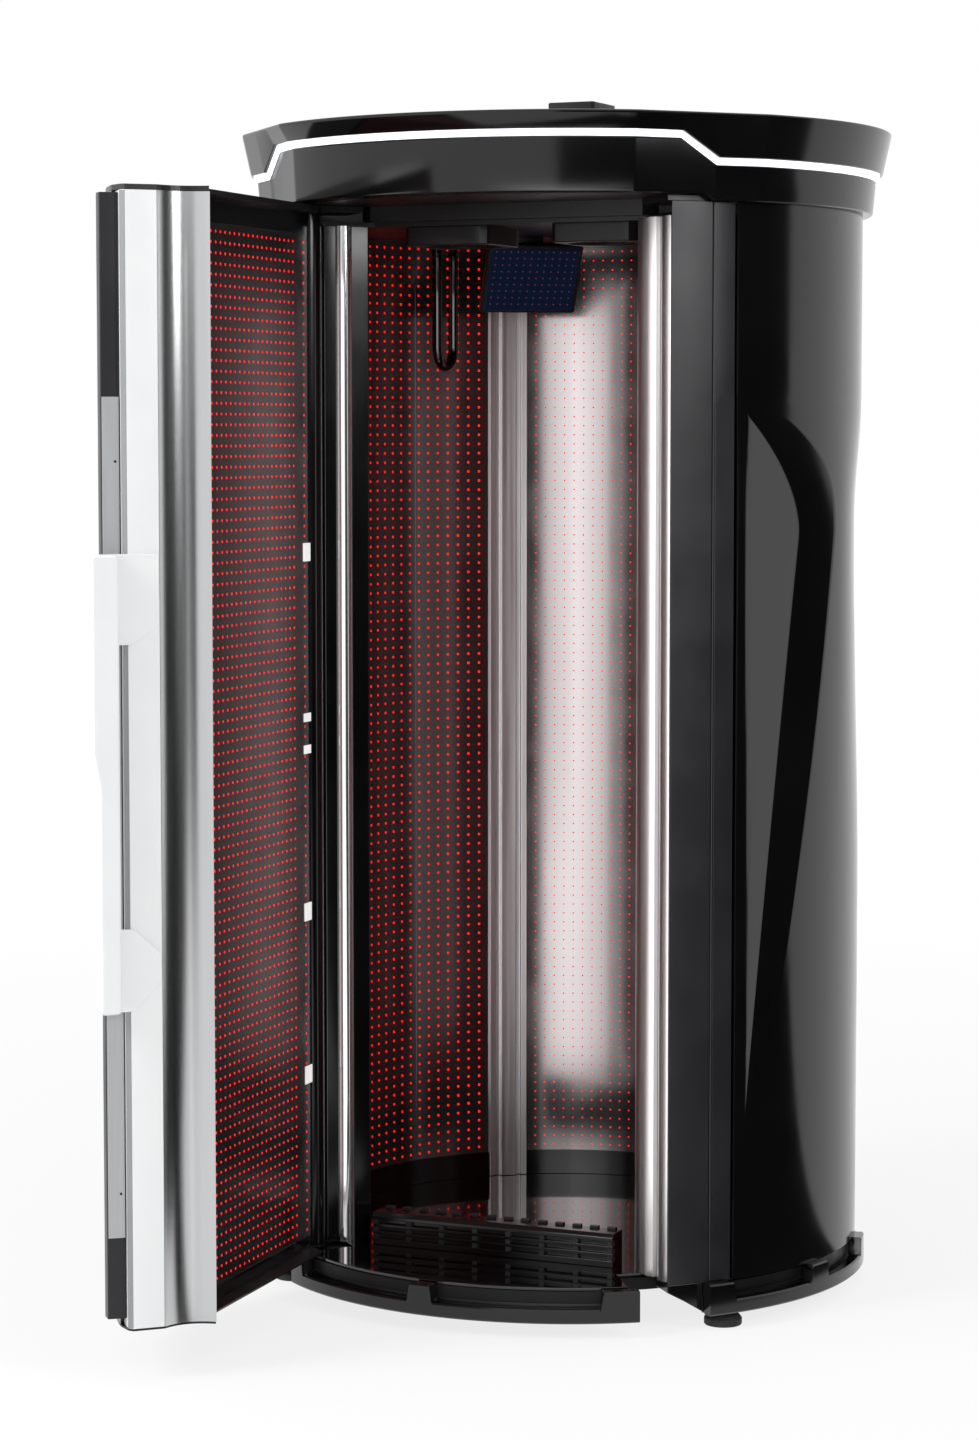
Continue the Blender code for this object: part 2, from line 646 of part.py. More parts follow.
gland = turned("cable_gland", [(0.0, 0.026), (0.007, 0.026), (0.009, 0.020), (0.013, 0.016), (0.013, 0.004),
                               (0.016, 0.004), (0.016, 0.0), (0.0, 0.0)], 16)
gland.rotation_euler = (-pi / 2, 0.0, 0.0)
gland.location = (ROOF_BOX_AT[0], ROOF_BOX_AT[1] + ROOF_BOX[1] / 2 + FIT, box_low + 0.040)
paint(gland, BLACK, 0.5)

# Ceiling fans
for fan_name, fan_side in (("left", -1), ("right", 1)):
    centre = (fan_side * FAN_XY[0], FAN_XY[1])
    half = FAN_SIDE / 2
    square = [(centre[0] - half, centre[1] - half), (centre[0] + half, centre[1] - half),
              (centre[0] + half, centre[1] + half), (centre[0] - half, centre[1] + half)]
    fan_top = Z_CEILING - FIT
    frame = prism("fan_frame_" + fan_name, [square, circle(centre, FAN_R, 28)], fan_top - FAN_DROP, fan_top)
    paint(frame, GRAPHITE, 0.35)
    blades = []
    for blade in range(7):
        start = 360 / 7 * blade
        blades += [polar(0.022, start), polar(0.068, start + 6), polar(0.068, start + 26),
                   polar(0.022, start + 30), polar(0.022, start + 42)]
    rotor = prism("fan_rotor_" + fan_name, blades, -0.022, -0.008)
    cut(rotor, solid_of([circle((0.0, 0.0), 0.0225, 20)], -0.026, -FIT), "UNION")
    rotor.location = (*centre, Z_CEILING)
    paint(rotor, BLACK, 0.4)

# Grab handles that hang from the ceiling
GRAB_HALF = 0.0375
GRAB_BAR = 0.010
for grab_name, grab_side in (("left", -1), ("right", 1)):
    bend = [(grab_side * GRAB_XY[0], GRAB_XY[1] - (GRAB_HALF) * cos(pi * i / 10),
             GRAB_LOW + GRAB_BAR + GRAB_HALF - GRAB_HALF * sin(pi * i / 10)) for i in range(11)]
    top = Z_CEILING - FIT
    path = [(bend[0][0], bend[0][1], top)] + bend + [(bend[-1][0], bend[-1][1], top)]
    paint(tube("grab_handle_" + grab_name, path, GRAB_BAR), BLACK, 0.1)

# Screen on a tilting bracket
SCREEN_SIZE = (0.195, 0.016, 0.150)
BARREL = 0.008
PIVOT = (-0.1585, 0.2036, Z_CEILING - 0.022)
PIVOT_DROP = 0.020            # pivot below the screen's top edge
facing = bpy.data.objects.new("screen_pivot", None)
facing.location = PIVOT
facing.rotation_euler = (radians(SCREEN_TILT), 0.0, radians(SCREEN_TURN))
cabin.objects.link(facing)


def rod_mesh(radius, length, sides=16):
    """Round rod along X, centred on the origin."""
    shape = bmesh.new()
    bmesh.ops.create_cone(shape, cap_ends=True, segments=sides, radius1=radius, radius2=radius, depth=length)
    for vert in shape.verts:
        vert.co = (vert.co.z, vert.co.y, -vert.co.x)
    mesh = bpy.data.meshes.new("rod")
    shape.to_mesh(mesh)
    shape.free()
    return mesh


stem_top = Z_CEILING - FIT - PIVOT[2]
bracket = put("screen_bracket", rod_mesh(BARREL, 0.070))
stem = [(-0.020, -0.005), (0.020, -0.005), (0.020, 0.005), (-0.020, 0.005)]
cut(bracket, solid_of([stem], 0.0, stem_top), "UNION")
bracket.location = PIVOT
bracket.rotation_euler = (0.0, 0.0, radians(SCREEN_TURN))
paint(bracket, GRAPHITE, 0.4, 0.5)
screen_z = PIVOT_DROP - SCREEN_SIZE[2] / 2
housing = box("screen_housing", SCREEN_SIZE, (0.0, -(BARREL + FIT + SCREEN_SIZE[1] / 2), screen_z))
housing.parent = facing
paint(soften(housing, 0.002), BLACK, 0.25)
GLASS = (SCREEN_SIZE[0] - 0.014, 0.002, SCREEN_SIZE[2] - 0.014)
glass = box("screen_glass", GLASS, (0.0, -(BARREL + 2 * FIT + SCREEN_SIZE[1] + GLASS[1] / 2), screen_z))
glass.parent = facing
paint(glass, (0.01, 0.03, 0.10), 0.05)

# Door, built closed and turned open about its hinge
door = bpy.data.objects.new("door_pivot", None)
door.location = (*HINGE, 0.0)
door.rotation_euler = (0.0, 0.0, radians(-DOOR_OPEN))
cabin.objects.link(door)


def hang(obj, colour, roughness, metallic=0.0):
    """Hangs a piece that was built in the closed place on the door's hinge."""
    obj.parent = door
    obj.location = (-HINGE[0], -HINGE[1], 0.0)
    return paint(obj, colour, roughness, metallic)


SHELL_FROM = -40.8
SHELL_TO = 36.5
SHELL_T = 0.006
LEAF_T = 0.004
CORE_T = 0.007
R_FACE = R_BODY - 0.013       # outer edge of the white end face
R_EDGE = R_FACE - 0.0565      # cove meets the white end face
R_BACK = R_BODY - SHELL_T - FIT
EDGE_BACK = SHELL_TO + 0.05
shell_edge = sector(R_BODY - SHELL_T, R_BODY, SHELL_FROM, SHELL_TO)
hang(prism("door_shell", shell_edge, Z_DOOR, DOOR_TOP), BLACK, 0.12)


def leaf(near, far):
    """Plan outline of a flat layer of the door between two distances behind its inner face."""
    return [(LEAF_LEFT, LEAF_Y - far), (LEAF_RIGHT, LEAF_Y - far), (LEAF_RIGHT, LEAF_Y - near),
            (LEAF_LEFT, LEAF_Y - near)]


core = LEAF_T + FIT
hang(prism("door_led_panel", leaf(0.0, LEAF_T), Z_DOOR, DOOR_TOP), (0.05, 0.012, 0.014), 0.05)
door_board = prism("door_led_board", leaf(core, core + CORE_T), Z_DOOR + 0.005, DOOR_TOP - 0.005)
hang(door_board, (0.02, 0.03, 0.02), 0.6)
edge_profile = [polar(R_EDGE + FIT, EDGE), polar(R_EDGE + FIT, EDGE_BACK), polar(R_BACK, EDGE_BACK),
                polar(R_BACK, EDGE - 0.9), polar(R_FACE, EDGE)]
hang(soften(prism("door_edge", edge_profile, Z_DOOR, DOOR_TOP), 0.001), WHITE, 0.3)
COVE = 0.016
COVE_BACK = LEAF_Y - core - CORE_T - 0.006
cove_profile = swelled(polar(R_EDGE, EDGE), polar(R_REVEAL, EDGE), -COVE) + [
    (LEAF_RIGHT + FIT, LEAF_Y + RAIL), (LEAF_RIGHT + FIT, COVE_BACK), polar(R_EDGE, EDGE_BACK)]
hang(prism("door_cove", cove_profile, Z_DOOR, DOOR_TOP), SILVER, 0.12, 1.0)
STILE_A = -41.6               # plan angle of the hinge stile's inner face
NOSE = (20.0, 250.0)
nose = []
for i in range(16):
    turn = radians(NOSE[0] + (NOSE[1] - NOSE[0]) * i / 15)
    nose.append((HINGE[0] + R_NOSE * cos(turn), HINGE[1] + R_NOSE * sin(turn)))
stile_x = LEAF_LEFT - FIT
stile_corner = polar(LEAF_Y / -cos(radians(STILE_A)), STILE_A)
stile_profile = [stile_corner] + nose + [
    polar(R_BACK, SHELL_FROM - 0.05), (stile_x, LEAF_Y - 0.032), (stile_x, LEAF_Y)]
bore = circle(HINGE, R_PIN + PIN_FIT, 16)
hang(prism("door_hinge_stile", [stile_profile, bore], Z_DOOR, DOOR_TOP), BLACK, 0.2)
rail_corner = polar((LEAF_Y + RAIL) / -cos(radians(STILE_A)), STILE_A)
CAP_A = EDGE - 0.1            # end of the door's end caps, just short of its end face
cap_cove = swelled(polar(R_EDGE, CAP_A), polar(R_REVEAL + 0.001, CAP_A), -COVE)
cap_profile = (arc(R_BODY - 0.0005, SHELL_TO, SHELL_FROM)
               + [polar(R_BACK, SHELL_FROM - 0.05)]
               + list(reversed(nose))
               + [stile_corner, rail_corner, (LEAF_RIGHT, LEAF_Y + RAIL)]
               + list(reversed(cap_cove))
               + [polar(R_FACE, CAP_A), polar(R_BACK, EDGE - 1.0)])
hang(prism("door_cap_top", [cap_profile, bore], DOOR_TOP + FIT, DOOR_TOP + HEAD_CAP_T), BLACK, 0.35)
hang(prism("door_cap_bottom", [cap_profile, bore], Z_DOOR - FOOT_CAP_T, Z_DOOR - FIT), BLACK, 0.35)
TRIM_R = R_BODY + 0.0265
TRIM_LOW = Z_DOOR + 0.016
TRIM_END = EDGE - 1.8
trim_profile = arc(R_BODY + ROUND_FIT, 32.0, SHELL_TO + 0.1) + [
    polar(R_BACK + FIT, SHELL_TO + 0.3), polar(R_BACK + FIT, TRIM_END), polar(TRIM_R, TRIM_END - 0.2),
    polar(TRIM_R, TRIM_END - 2.6), polar(R_BODY + 0.018, 33.4)]
hang(prism("door_trim", trim_profile, TRIM_LOW, DOOR_TOP - 0.004), GRAPHITE, 0.25)
INSERT = (0.253, 1.694)
insert_at = [polar(R_BODY, TRIM_END + 0.03), polar(R_BODY, TRIM_END + 0.23),
             polar(TRIM_R - 0.003, TRIM_END + 0.02), polar(TRIM_R - 0.003, TRIM_END - 0.15)]
hang(prism("trim_insert", insert_at, *INSERT), (0.33, 0.33, 0.33), 0.35, 0.2)

# Handle: a white plate on the end face that carries a long grip with a finger slot behind it
GRIP = (0.648, 1.429)
SLOT = (0.790, 1.275)
PLATE_IN = R_EDGE + 0.004
GRIP_IN = R_BODY + 0.011
GRIP_W = 0.048
GRIP_OUT = GRIP_IN + GRIP_W
PLATE_T = 0.0067
GRIP_T = 0.034
plate = [(GRIP_IN, SLOT[0]), (GRIP_IN, SLOT[1]), (R_FACE - 0.004, SLOT[1]), (PLATE_IN, SLOT[1] + 0.031),
         (PLATE_IN, GRIP[1]), (GRIP_OUT, GRIP[1]), (GRIP_OUT, GRIP[0]), (R_FACE - 0.004, GRIP[0]),
         (PLATE_IN, GRIP[0] + 0.050), (PLATE_IN, SLOT[0] - 0.044), (R_FACE - 0.004, SLOT[0])]
grip = [(GRIP_IN, GRIP[0]), (GRIP_OUT, GRIP[0]), (GRIP_OUT, GRIP[1]), (GRIP_IN, GRIP[1])]
handle = put("handle", solid_of([plate], 0.0, PLATE_T))
cut(handle, solid_of([grip], PLATE_T - GRIP_T, PLATE_T), "UNION")
end_turn = bpy.data.objects.new("end_face", None)
end_turn.parent = door
end_turn.location = (-HINGE[0], -HINGE[1], 0.0)
end_turn.rotation_euler = (pi / 2, 0.0, radians(EDGE - 90.0))
cabin.objects.link(end_turn)
handle.parent = end_turn
handle.location = (0.0, 0.0, -FIT - PLATE_T)
paint(soften(handle, 0.002), WHITE, 0.25)

# Hinge pivots on the cabin, each with a pin that stands in the door's bore
PIVOT_R = 0.020
PIN_LENGTH = 0.025
plate_edge = [circle(HINGE, PIVOT_R, 20)]
pin_edge = [circle(HINGE, R_PIN, 16)]
head_low = DOOR_TOP + HEAD_CAP_T + FIT
foot_high = Z_DOOR - FOOT_CAP_T - FIT
pivot_bottom = prism("pivot_bottom", plate_edge, Z_PAN_TOP + FIT, foot_high)
cut(pivot_bottom, solid_of(pin_edge, foot_high - 0.001, foot_high + PIN_LENGTH), "UNION")
paint(pivot_bottom, GRAPHITE, 0.4, 0.6)
pivot_top = prism("pivot_top", plate_edge, head_low, Z_HEAD - FIT)
cut(pivot_top, solid_of(pin_edge, head_low - PIN_LENGTH, head_low + 0.001), "UNION")
paint(pivot_top, GRAPHITE, 0.4, 0.6)
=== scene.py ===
"""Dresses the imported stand-up light therapy cabin with fine surfaces, finishes, a studio and a camera.

Metres, +Z up, front towards -Y. Plan angles are in degrees from the front, positive towards +X.
"""

import logging
from dataclasses import dataclass
from enum import Enum
from math import cos, radians, sin

import bpy
import numpy as np
from numpy.typing import NDArray
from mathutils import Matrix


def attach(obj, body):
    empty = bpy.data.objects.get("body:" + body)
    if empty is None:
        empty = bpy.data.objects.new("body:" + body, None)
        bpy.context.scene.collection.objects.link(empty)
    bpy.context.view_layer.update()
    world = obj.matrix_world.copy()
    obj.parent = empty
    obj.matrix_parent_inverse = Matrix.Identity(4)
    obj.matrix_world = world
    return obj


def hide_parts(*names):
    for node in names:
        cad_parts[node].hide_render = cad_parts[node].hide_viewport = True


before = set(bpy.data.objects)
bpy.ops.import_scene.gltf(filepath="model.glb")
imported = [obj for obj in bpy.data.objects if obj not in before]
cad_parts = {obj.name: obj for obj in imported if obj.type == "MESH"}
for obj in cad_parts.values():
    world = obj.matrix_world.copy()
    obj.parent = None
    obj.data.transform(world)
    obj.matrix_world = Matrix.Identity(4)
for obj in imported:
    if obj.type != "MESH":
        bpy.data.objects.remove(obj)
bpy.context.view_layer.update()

Array = NDArray[np.float64]
LOG = logging.getLogger("cabin")


class Body(Enum):
    """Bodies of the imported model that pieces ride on."""

    CABIN = "cabin"
    DOOR = "door"
    SCREEN = "screen"
    LEFT_ROTOR = "left_rotor"
    RIGHT_ROTOR = "right_rotor"


class Side(Enum):
    """Sides of the cabin seen from the front, with the sign of X."""

    LEFT = -1
    RIGHT = 1


@dataclass(frozen=True)
class Plan:
    """Sizes that several sub-assemblies share, in metres and degrees.

    Attributes:
        fit: clearance between neighbouring pieces.
        body: outer radius of the cabin.
        wall: inner radius of the light panels.
        reveal: inner radius of the posts beside the doorway.
        latch: outer radius of these posts.
        base: outer radius of the skirt.
        z_base: top of the skirt.
        z_floor: top of the floor.
        z_wall: underside of the panels and posts.
        wall_top: top of the panels and posts.
        z_ceiling: underside of the ceiling.
        z_cap: underside of the cap round the sides.
        z_head: underside of the cap over the door.
        z_rim: top of the cap.
        z_door: underside of the door.
        door_top: top of the door.
        jamb: plan angle of the doorway's sides.
        post_back: plan angle of the posts' rear faces.
        hinge_x: place of the hinge axis along X.
        hinge_y: place of the hinge axis along Y.
        door_open: how far the door stands open.
    """

    fit: float = 0.0003
    body: float = 0.567
    wall: float = 0.460
    reveal: float = 0.405
    latch: float = 0.546
    base: float = 0.585
    z_base: float = 0.088
    z_floor: float = 0.0905
    z_wall: float = 0.0908
    wall_top: float = 2.0197
    z_ceiling: float = 2.020
    z_cap: float = 2.0453
    z_head: float = 2.0565
    z_rim: float = 2.198
    z_door: float = 0.0955
    door_top: float = 2.041
    jamb: float = 42.0
    post_back: float = 51.7
    hinge_x: float = -0.361599
    hinge_y: float = -0.390355
    door_open: float = 85.4


PLAN = Plan()


def linear(colour: str) -> tuple[float, float, float, float]:
    """Turns an sRGB hex colour into linear RGBA.

    Args:
        colour: six hex digits after a number sign.

    Returns:
        Linear red, green and blue, and an alpha of 1.
    """
    parts = np.array([int(colour[i:i + 2], 16) for i in (1, 3, 5)]) / 255
    low, high = parts / 12.92, ((parts + 0.055) / 1.055) ** 2.4
    red, green, blue = np.where(parts <= 0.04045, low, high).tolist()
    return red, green, blue, 1.0


def add(tree: bpy.types.NodeTree, kind: str, inputs: dict | None = None,
        **settings: object) -> bpy.types.Node:
    """Adds a shader node with its settings and links.

    Args:
        tree: node tree to add to.
        kind: node type without the ShaderNode prefix.
        inputs: socket names or numbers, each with a value or with the output socket to link.
        settings: properties of the node.

    Returns:
        The new node.
    """
    made = tree.nodes.new("ShaderNode" + kind)
    for key, value in settings.items():
        setattr(made, key, value)
    for key, value in (inputs or {}).items():
        if isinstance(value, bpy.types.NodeSocket):
            tree.links.new(value, made.inputs[key])
        else:
            made.inputs[key].default_value = value
    return made


@dataclass(frozen=True)
class Finish:
    """A surface finish: two tones mottled by noise, a roughness band and a fine relief.

    Attributes:
        name: material name.
        slot: material slot that the finish belongs to; not used.
        light: lighter tone, sRGB hex.
        dark: darker tone, sRGB hex.
        rough: lowest and highest roughness.
        metallic: metallic share.
        mottle_mm: size of the tone and roughness patches.
        grain_mm: size of the relief.
        relief_mm: depth of the relief.
        stretch: how many times longer than wide the patches are along Z.
        ior: index of refraction.
        coat: weight of a clear coat.
    """

    name: str
    slot: str
    light: str
    dark: str
    rough: tuple[float, float]
    metallic: float = 0.0
    mottle_mm: float = 60.0
    grain_mm: float = 3.0
    relief_mm: float = 0.02
    stretch: float = 1.0
    ior: float = 1.5
    coat: float = 0.0

    def material(self) -> bpy.types.Material:
        """Makes the material once.

        Returns:
            The material, which all pieces of this finish share.
        """
        known = bpy.data.materials.get(self.name)
        if known:
            return known
        made = bpy.data.materials.new(self.name)
        made.use_nodes = True
        tree = made.node_tree
        tree.nodes.clear()
        coords = add(tree, "TexCoord")
        place = add(tree, "Mapping", {"Vector": coords.outputs["Object"], "Scale": (1, 1, 1 / self.stretch)})
        patches = add(tree, "TexNoise", {"Vector": place.outputs[0], "Scale": 1000 / self.mottle_mm,
                                         "Detail": 4.0})
        grain = add(tree, "TexNoise", {"Vector": place.outputs[0], "Scale": 1000 / self.grain_mm,
                                       "Detail": 2.0})
        tone = add(tree, "Mix", {"Factor": patches.outputs["Fac"], 6: linear(self.dark),
                                 7: linear(self.light)}, data_type="RGBA")
        rough = add(tree, "MapRange", {"Value": patches.outputs["Fac"], "From Min": 0.3, "From Max": 0.7,
                                       "To Min": self.rough[0], "To Max": self.rough[1]})
        relief = add(tree, "Bump", {"Height": grain.outputs["Fac"], "Distance": self.relief_mm / 1000})
        shader = add(tree, "BsdfPrincipled", {
            "Base Color": tone.outputs[2], "Roughness": rough.outputs["Result"], "Normal": relief.outputs[0],
            "Metallic": self.metallic, "IOR": self.ior, "Coat Weight": self.coat})
        self.light_up(tree, coords, shader)
        add(tree, "OutputMaterial", {"Surface": shader.outputs[0]})
        return made

    def light_up(self, tree: bpy.types.NodeTree, coords: bpy.types.Node, shader: bpy.types.Node) -> None:
        """Adds nothing: a plain finish gives no light."""


@dataclass(frozen=True)
class LitFinish(Finish):
    """A finish that gives light, brighter and dimmer along its own mottling.

    Attributes:
        glow: emitted colour, sRGB hex.
        strength: lowest and highest strength of the emitted light.
    """

    glow: str = "#ffffff"
    strength: tuple[float, float] = (1.0, 1.0)

    def light_up(self, tree: bpy.types.NodeTree, coords: bpy.types.Node, shader: bpy.types.Node) -> None:
        """Links a noise at the size of the patches to the strength of the light.

        Args:
            tree: node tree of the material.
            coords: its texture coordinates.
            shader: its Principled shader.
        """
        spread = add(tree, "TexNoise", {"Vector": coords.outputs["Object"], "Scale": 1000 / self.mottle_mm})
        power = add(tree, "MapRange", {"Value": spread.outputs["Fac"], "From Min": 0.3, "From Max": 0.7,
                                       "To Min": self.strength[0], "To Max": self.strength[1]})
        shader.inputs["Emission Color"].default_value = linear(self.glow)
        tree.links.new(power.outputs["Result"], shader.inputs["Emission Strength"])


@dataclass(frozen=True)
class DottedFinish(Finish):
    """A dark display whose lit dots stand on a square grid of the piece's own UV map, in metres.

    Attributes:
        glow: colour of the dots, sRGB hex.
        ground: colour between the dots, sRGB hex.
        pitch_mm: spacing of the dots.
        share: radius of a dot as a share of the spacing.
        strength: strength of the light.
    """

    glow: str = "#74405a"
    ground: str = "#07172b"
    pitch_mm: float = 14.5
    share: float = 0.13
    strength: float = 0.55

    def light_up(self, tree: bpy.types.NodeTree, coords: bpy.types.Node, shader: bpy.types.Node) -> None:
        """Lights the places whose distance from the middle of their grid square is under the dot's radius.

        Args:
            tree: node tree of the material.
            coords: its texture coordinates.
            shader: its Principled shader.
        """
        grid = add(tree, "VectorMath", {0: coords.outputs["UV"], "Scale": 1000 / self.pitch_mm},
                   operation="SCALE")
        square = add(tree, "VectorMath", {0: grid.outputs[0]}, operation="FRACTION")
        off = add(tree, "VectorMath", {0: square.outputs[0], 1: (0.5, 0.5, 0.0)}, operation="DISTANCE")
        dot = add(tree, "MapRange", {"Value": off.outputs["Value"], "From Min": self.share,
                                     "From Max": self.share * 0.6})
        light = add(tree, "Mix", {"Factor": dot.outputs["Result"], 6: linear(self.ground),
                                  7: linear(self.glow)}, data_type="RGBA")
        tree.links.new(light.outputs[2], shader.inputs["Emission Color"])
        shader.inputs["Emission Strength"].default_value = self.strength


# Injection-moulded ABS, polished: near-black and mirror-like, with a slight orange peel in its reflections.
GLOSS_ABS = Finish("gloss_black_abs", "gloss_black_shell", "#0c0c0d", "#070708", (0.10, 0.17),
                   mottle_mm=240, grain_mm=18, relief_mm=0.012)
# Injection-moulded ABS with a spark-eroded grain: black that scatters light, so edges read softly.
SATIN_ABS = Finish("satin_black_abs", "satin_black_plastic", "#151516", "#0c0c0d", (0.30, 0.42),
                   mottle_mm=45, grain_mm=1.6, relief_mm=0.03)
# Painted ABS trim: dark grey semi-gloss with a faint metallic flake.
GRAPHITE_PAINT = Finish("graphite_painted_abs", "graphite_trim", "#27272a", "#1f1f21", (0.30, 0.38), 0.25,
                        mottle_mm=120, grain_mm=2.4, relief_mm=0.015)
# Black anodised sheet aluminium: dark, dry metal sheen.
ANODISED = Finish("black_anodised_aluminium", "dark_anodised_metal", "#1d1d1f", "#141415", (0.36, 0.48), 0.8,
                  mottle_mm=30, grain_mm=1.2, relief_mm=0.02)
# Polished black acrylic sheet: the floor and the grab handles mirror what stands on them.
MIRROR_BLACK = Finish("polished_black_acrylic", "gloss_black_floor", "#0b0b0c", "#060607", (0.04, 0.09),
                      mottle_mm=160, grain_mm=30, relief_mm=0.006, coat=0.5)
# Extruded and polished aluminium: bright mirror with long die lines along the extrusion.
POLISHED_ALU = Finish("polished_aluminium", "polished_aluminium", "#d6d7d9", "#c4c5c8", (0.10, 0.19), 1.0,
                      mottle_mm=7, grain_mm=4, relief_mm=0.012, stretch=60)
# Extruded aluminium, satin anodised: bright, with reflections drawn out softly.
SATIN_ALU = Finish("satin_aluminium", "polished_aluminium", "#d8d6d6", "#c8c6c6", (0.28, 0.36), 1.0,
                   mottle_mm=9, grain_mm=4, relief_mm=0.01, stretch=60)
# Aluminium profile, finely blasted and clear anodised: bright, with soft reflections.
BLASTED_ALU = Finish("blasted_aluminium", "polished_aluminium", "#cfd0d1", "#c3c4c5", (0.21, 0.26), 1.0,
                     mottle_mm=11, grain_mm=1.5, relief_mm=0.008, stretch=50)
# Smoked acrylic of the door, with less of the mirror coating: darker than on the walls.
DOOR_ACRYLIC = Finish("smoked_door_acrylic", "dark_red_acrylic", "#635757", "#564b4c", (0.13, 0.20), 0.88,
                      mottle_mm=90, grain_mm=9, relief_mm=0.006)
# Smoked acrylic over the light boards: grey with a faint red cast, mirrored by its back coating.
SMOKED_ACRYLIC = Finish("smoked_red_acrylic", "dark_red_acrylic", "#8a8585", "#7d7778", (0.12, 0.18), 0.88,
                        mottle_mm=90, grain_mm=9, relief_mm=0.006)
# Solder-masked glass-fibre board: matt green-black.
BOARD = Finish("solder_masked_board", "circuit_board", "#16201a", "#0e1511", (0.5, 0.62),
               mottle_mm=12, grain_mm=1.0, relief_mm=0.03)
# Polyester powder coat: white satin with the faint orange peel of baked powder.
WHITE_COAT = Finish("white_powder_coat", "white_gloss", "#e9ebeb", "#e2e4e5", (0.28, 0.36),
                    mottle_mm=80, grain_mm=2.2, relief_mm=0.02)
# Satin anodised aluminium strip: mid grey with fine lengthwise brushing.
SILVER_STRIP = Finish("satin_anodised_strip", "silver_insert", "#b6b7b9", "#aaabad", (0.34, 0.44), 0.35,
                      mottle_mm=4, grain_mm=2, relief_mm=0.02, stretch=40)
# Flat mid grey of painted shade: it stands for the shaded edge of the white end face, between it and the trim.
SHADE_STRIP = Finish("painted_shade_strip", "silver_insert", "#8f9091", "#858687", (0.45, 0.55),
                    mottle_mm=40, grain_mm=2.2, relief_mm=0.02)
# Natural rubber: matt black with a bloom of lighter patches.
RUBBER = Finish("moulded_rubber", "rubber_foot", "#1b1b1b", "#101010", (0.62, 0.78),
                mottle_mm=10, grain_mm=1.0, relief_mm=0.05)
# Opal acrylic light guide: evenly lit white with slight hot spots over its emitters.
OPAL = LitFinish("lit_opal_acrylic", "light_diffuser", "#f4f6f8", "#e8eaee", (0.35, 0.45), mottle_mm=33,
                 glow="#f6f9ff", strength=(1.3, 2.2))
# Red epoxy lens of a light emitter: saturated red, each lens a little brighter or dimmer.
RED_LENS = LitFinish("red_epoxy_lens", "dark_red_acrylic", "#c01818", "#901010", (0.15, 0.25), mottle_mm=30,
                     grain_mm=2, relief_mm=0.005, glow="#ff1414", strength=(1.0, 1.5))
# White glass-filled nylon: dull white plates given a faint glow of painted light, so that they stay white in
# shade.
WHITE_NYLON_PAINTED_GLOW = LitFinish("white_nylon_painted_glow", "white_gloss", "#f2f2f0", "#e6e6e4", (0.45, 0.55), mottle_mm=15,
                        grain_mm=1.2, relief_mm=0.03, glow="#ffffff", strength=(0.3, 0.4))
# Cover glass of a display: dark blue, sharp reflections, a grid of faint red points.
DISPLAY = DottedFinish("display_glass", "screen_glass", "#0a1e38", "#07172c", (0.06, 0.10), mottle_mm=70,
                       grain_mm=20, relief_mm=0.003)


def polar(radius: Array | float, angle: Array | float) -> Array:
    """Plan points: radius times the sine and minus the cosine of the angle from the front.

    Args:
        radius: distance from the cabin's axis.
        angle: plan angle in degrees.

    Returns:
        Points with a last axis of 2.
    """
    turn = np.radians(angle)
    return np.stack(np.broadcast_arrays(radius * np.sin(turn), -radius * np.cos(turn)), -1)


def arc(radius: float, start: float, end: float, step: float = 1.0) -> Array:
    """Plan points at even angles along an arc about the cabin's axis."""
    return polar(radius, np.linspace(start, end, max(2, int(abs(end - start) / step) + 1)))


def sector(inner: float, outer: float, start: float, end: float) -> Array:
    """Plan outline of a piece of a ring: the outer arc and then the inner arc back."""
    return np.concatenate([arc(outer, start, end), arc(inner, end, start)])


def mirrored(outline: Array) -> Array:
    """Plan outline reflected in the YZ plane and run the other way."""
    return outline[::-1] * (-1, 1)


def smooth(t: Array) -> Array:
    """Smooth step: three t squared less two t cubed, with t kept between 0 and 1."""
    t = np.clip(t, 0.0, 1.0)
    return t * t * (3 - 2 * t)


def swelled(start: Array, end: Array, swell: float, count: int = 40) -> Array:
    """Chord that bulges to its right in a parabola of a given height.

    Args:
        start: first plan point.
        end: last plan point.
        swell: height of the bulge, negative for a hollow.
        count: number of points.

    Returns:
        Plan points along the chord.
    """
    t = np.linspace(0, 1, count)[:, None]
    span = np.asarray(end) - start
    right = np.array((span[1], -span[0])) / np.hypot(*span)
    return start + span * t + right * (4 * swell * t * (1 - t))


def rounded(corners: Array, radius: float, count: int = 5) -> Array:
    """Outline with each corner replaced by a quadratic curve that leaves its two sides at the given distance.

    Args:
        corners: points of a closed outline, last axis of 2 or 3.
        radius: distance from a corner, kept under half of each side.
        count: points in each corner.

    Returns:
        Points of the rounded outline.
    """
    corners = np.asarray(corners, float)
    back, ahead = np.roll(corners, 1, 0) - corners, np.roll(corners, -1, 0) - corners
    long_back, long_ahead = (np.linalg.norm(v, axis=1, keepdims=True) for v in (back, ahead))
    first = corners + back / long_back * np.minimum(radius, 0.45 * long_back)
    last = corners + ahead / long_ahead * np.minimum(radius, 0.45 * long_ahead)
    t = np.linspace(0, 1, count)[None, :, None]
    curve = (1 - t) ** 2 * first[:, None] + 2 * t * (1 - t) * corners[:, None] + t ** 2 * last[:, None]
    return curve.reshape(-1, corners.shape[1])


def stacked(outline: Array, heights: tuple[float, ...]) -> Array:
    """Sections of an upright extrusion: the plan outline repeated at each height.

    Args:
        outline: plan points.
        heights: height of each section.

    Returns:
        One loop for each height.
    """
    levels = np.asarray(heights, float)[:, None, None]
    flat = np.broadcast_to(outline, (len(heights), *outline.shape))
    return np.concatenate([flat, np.broadcast_to(levels, (*flat.shape[:2], 1))], -1)


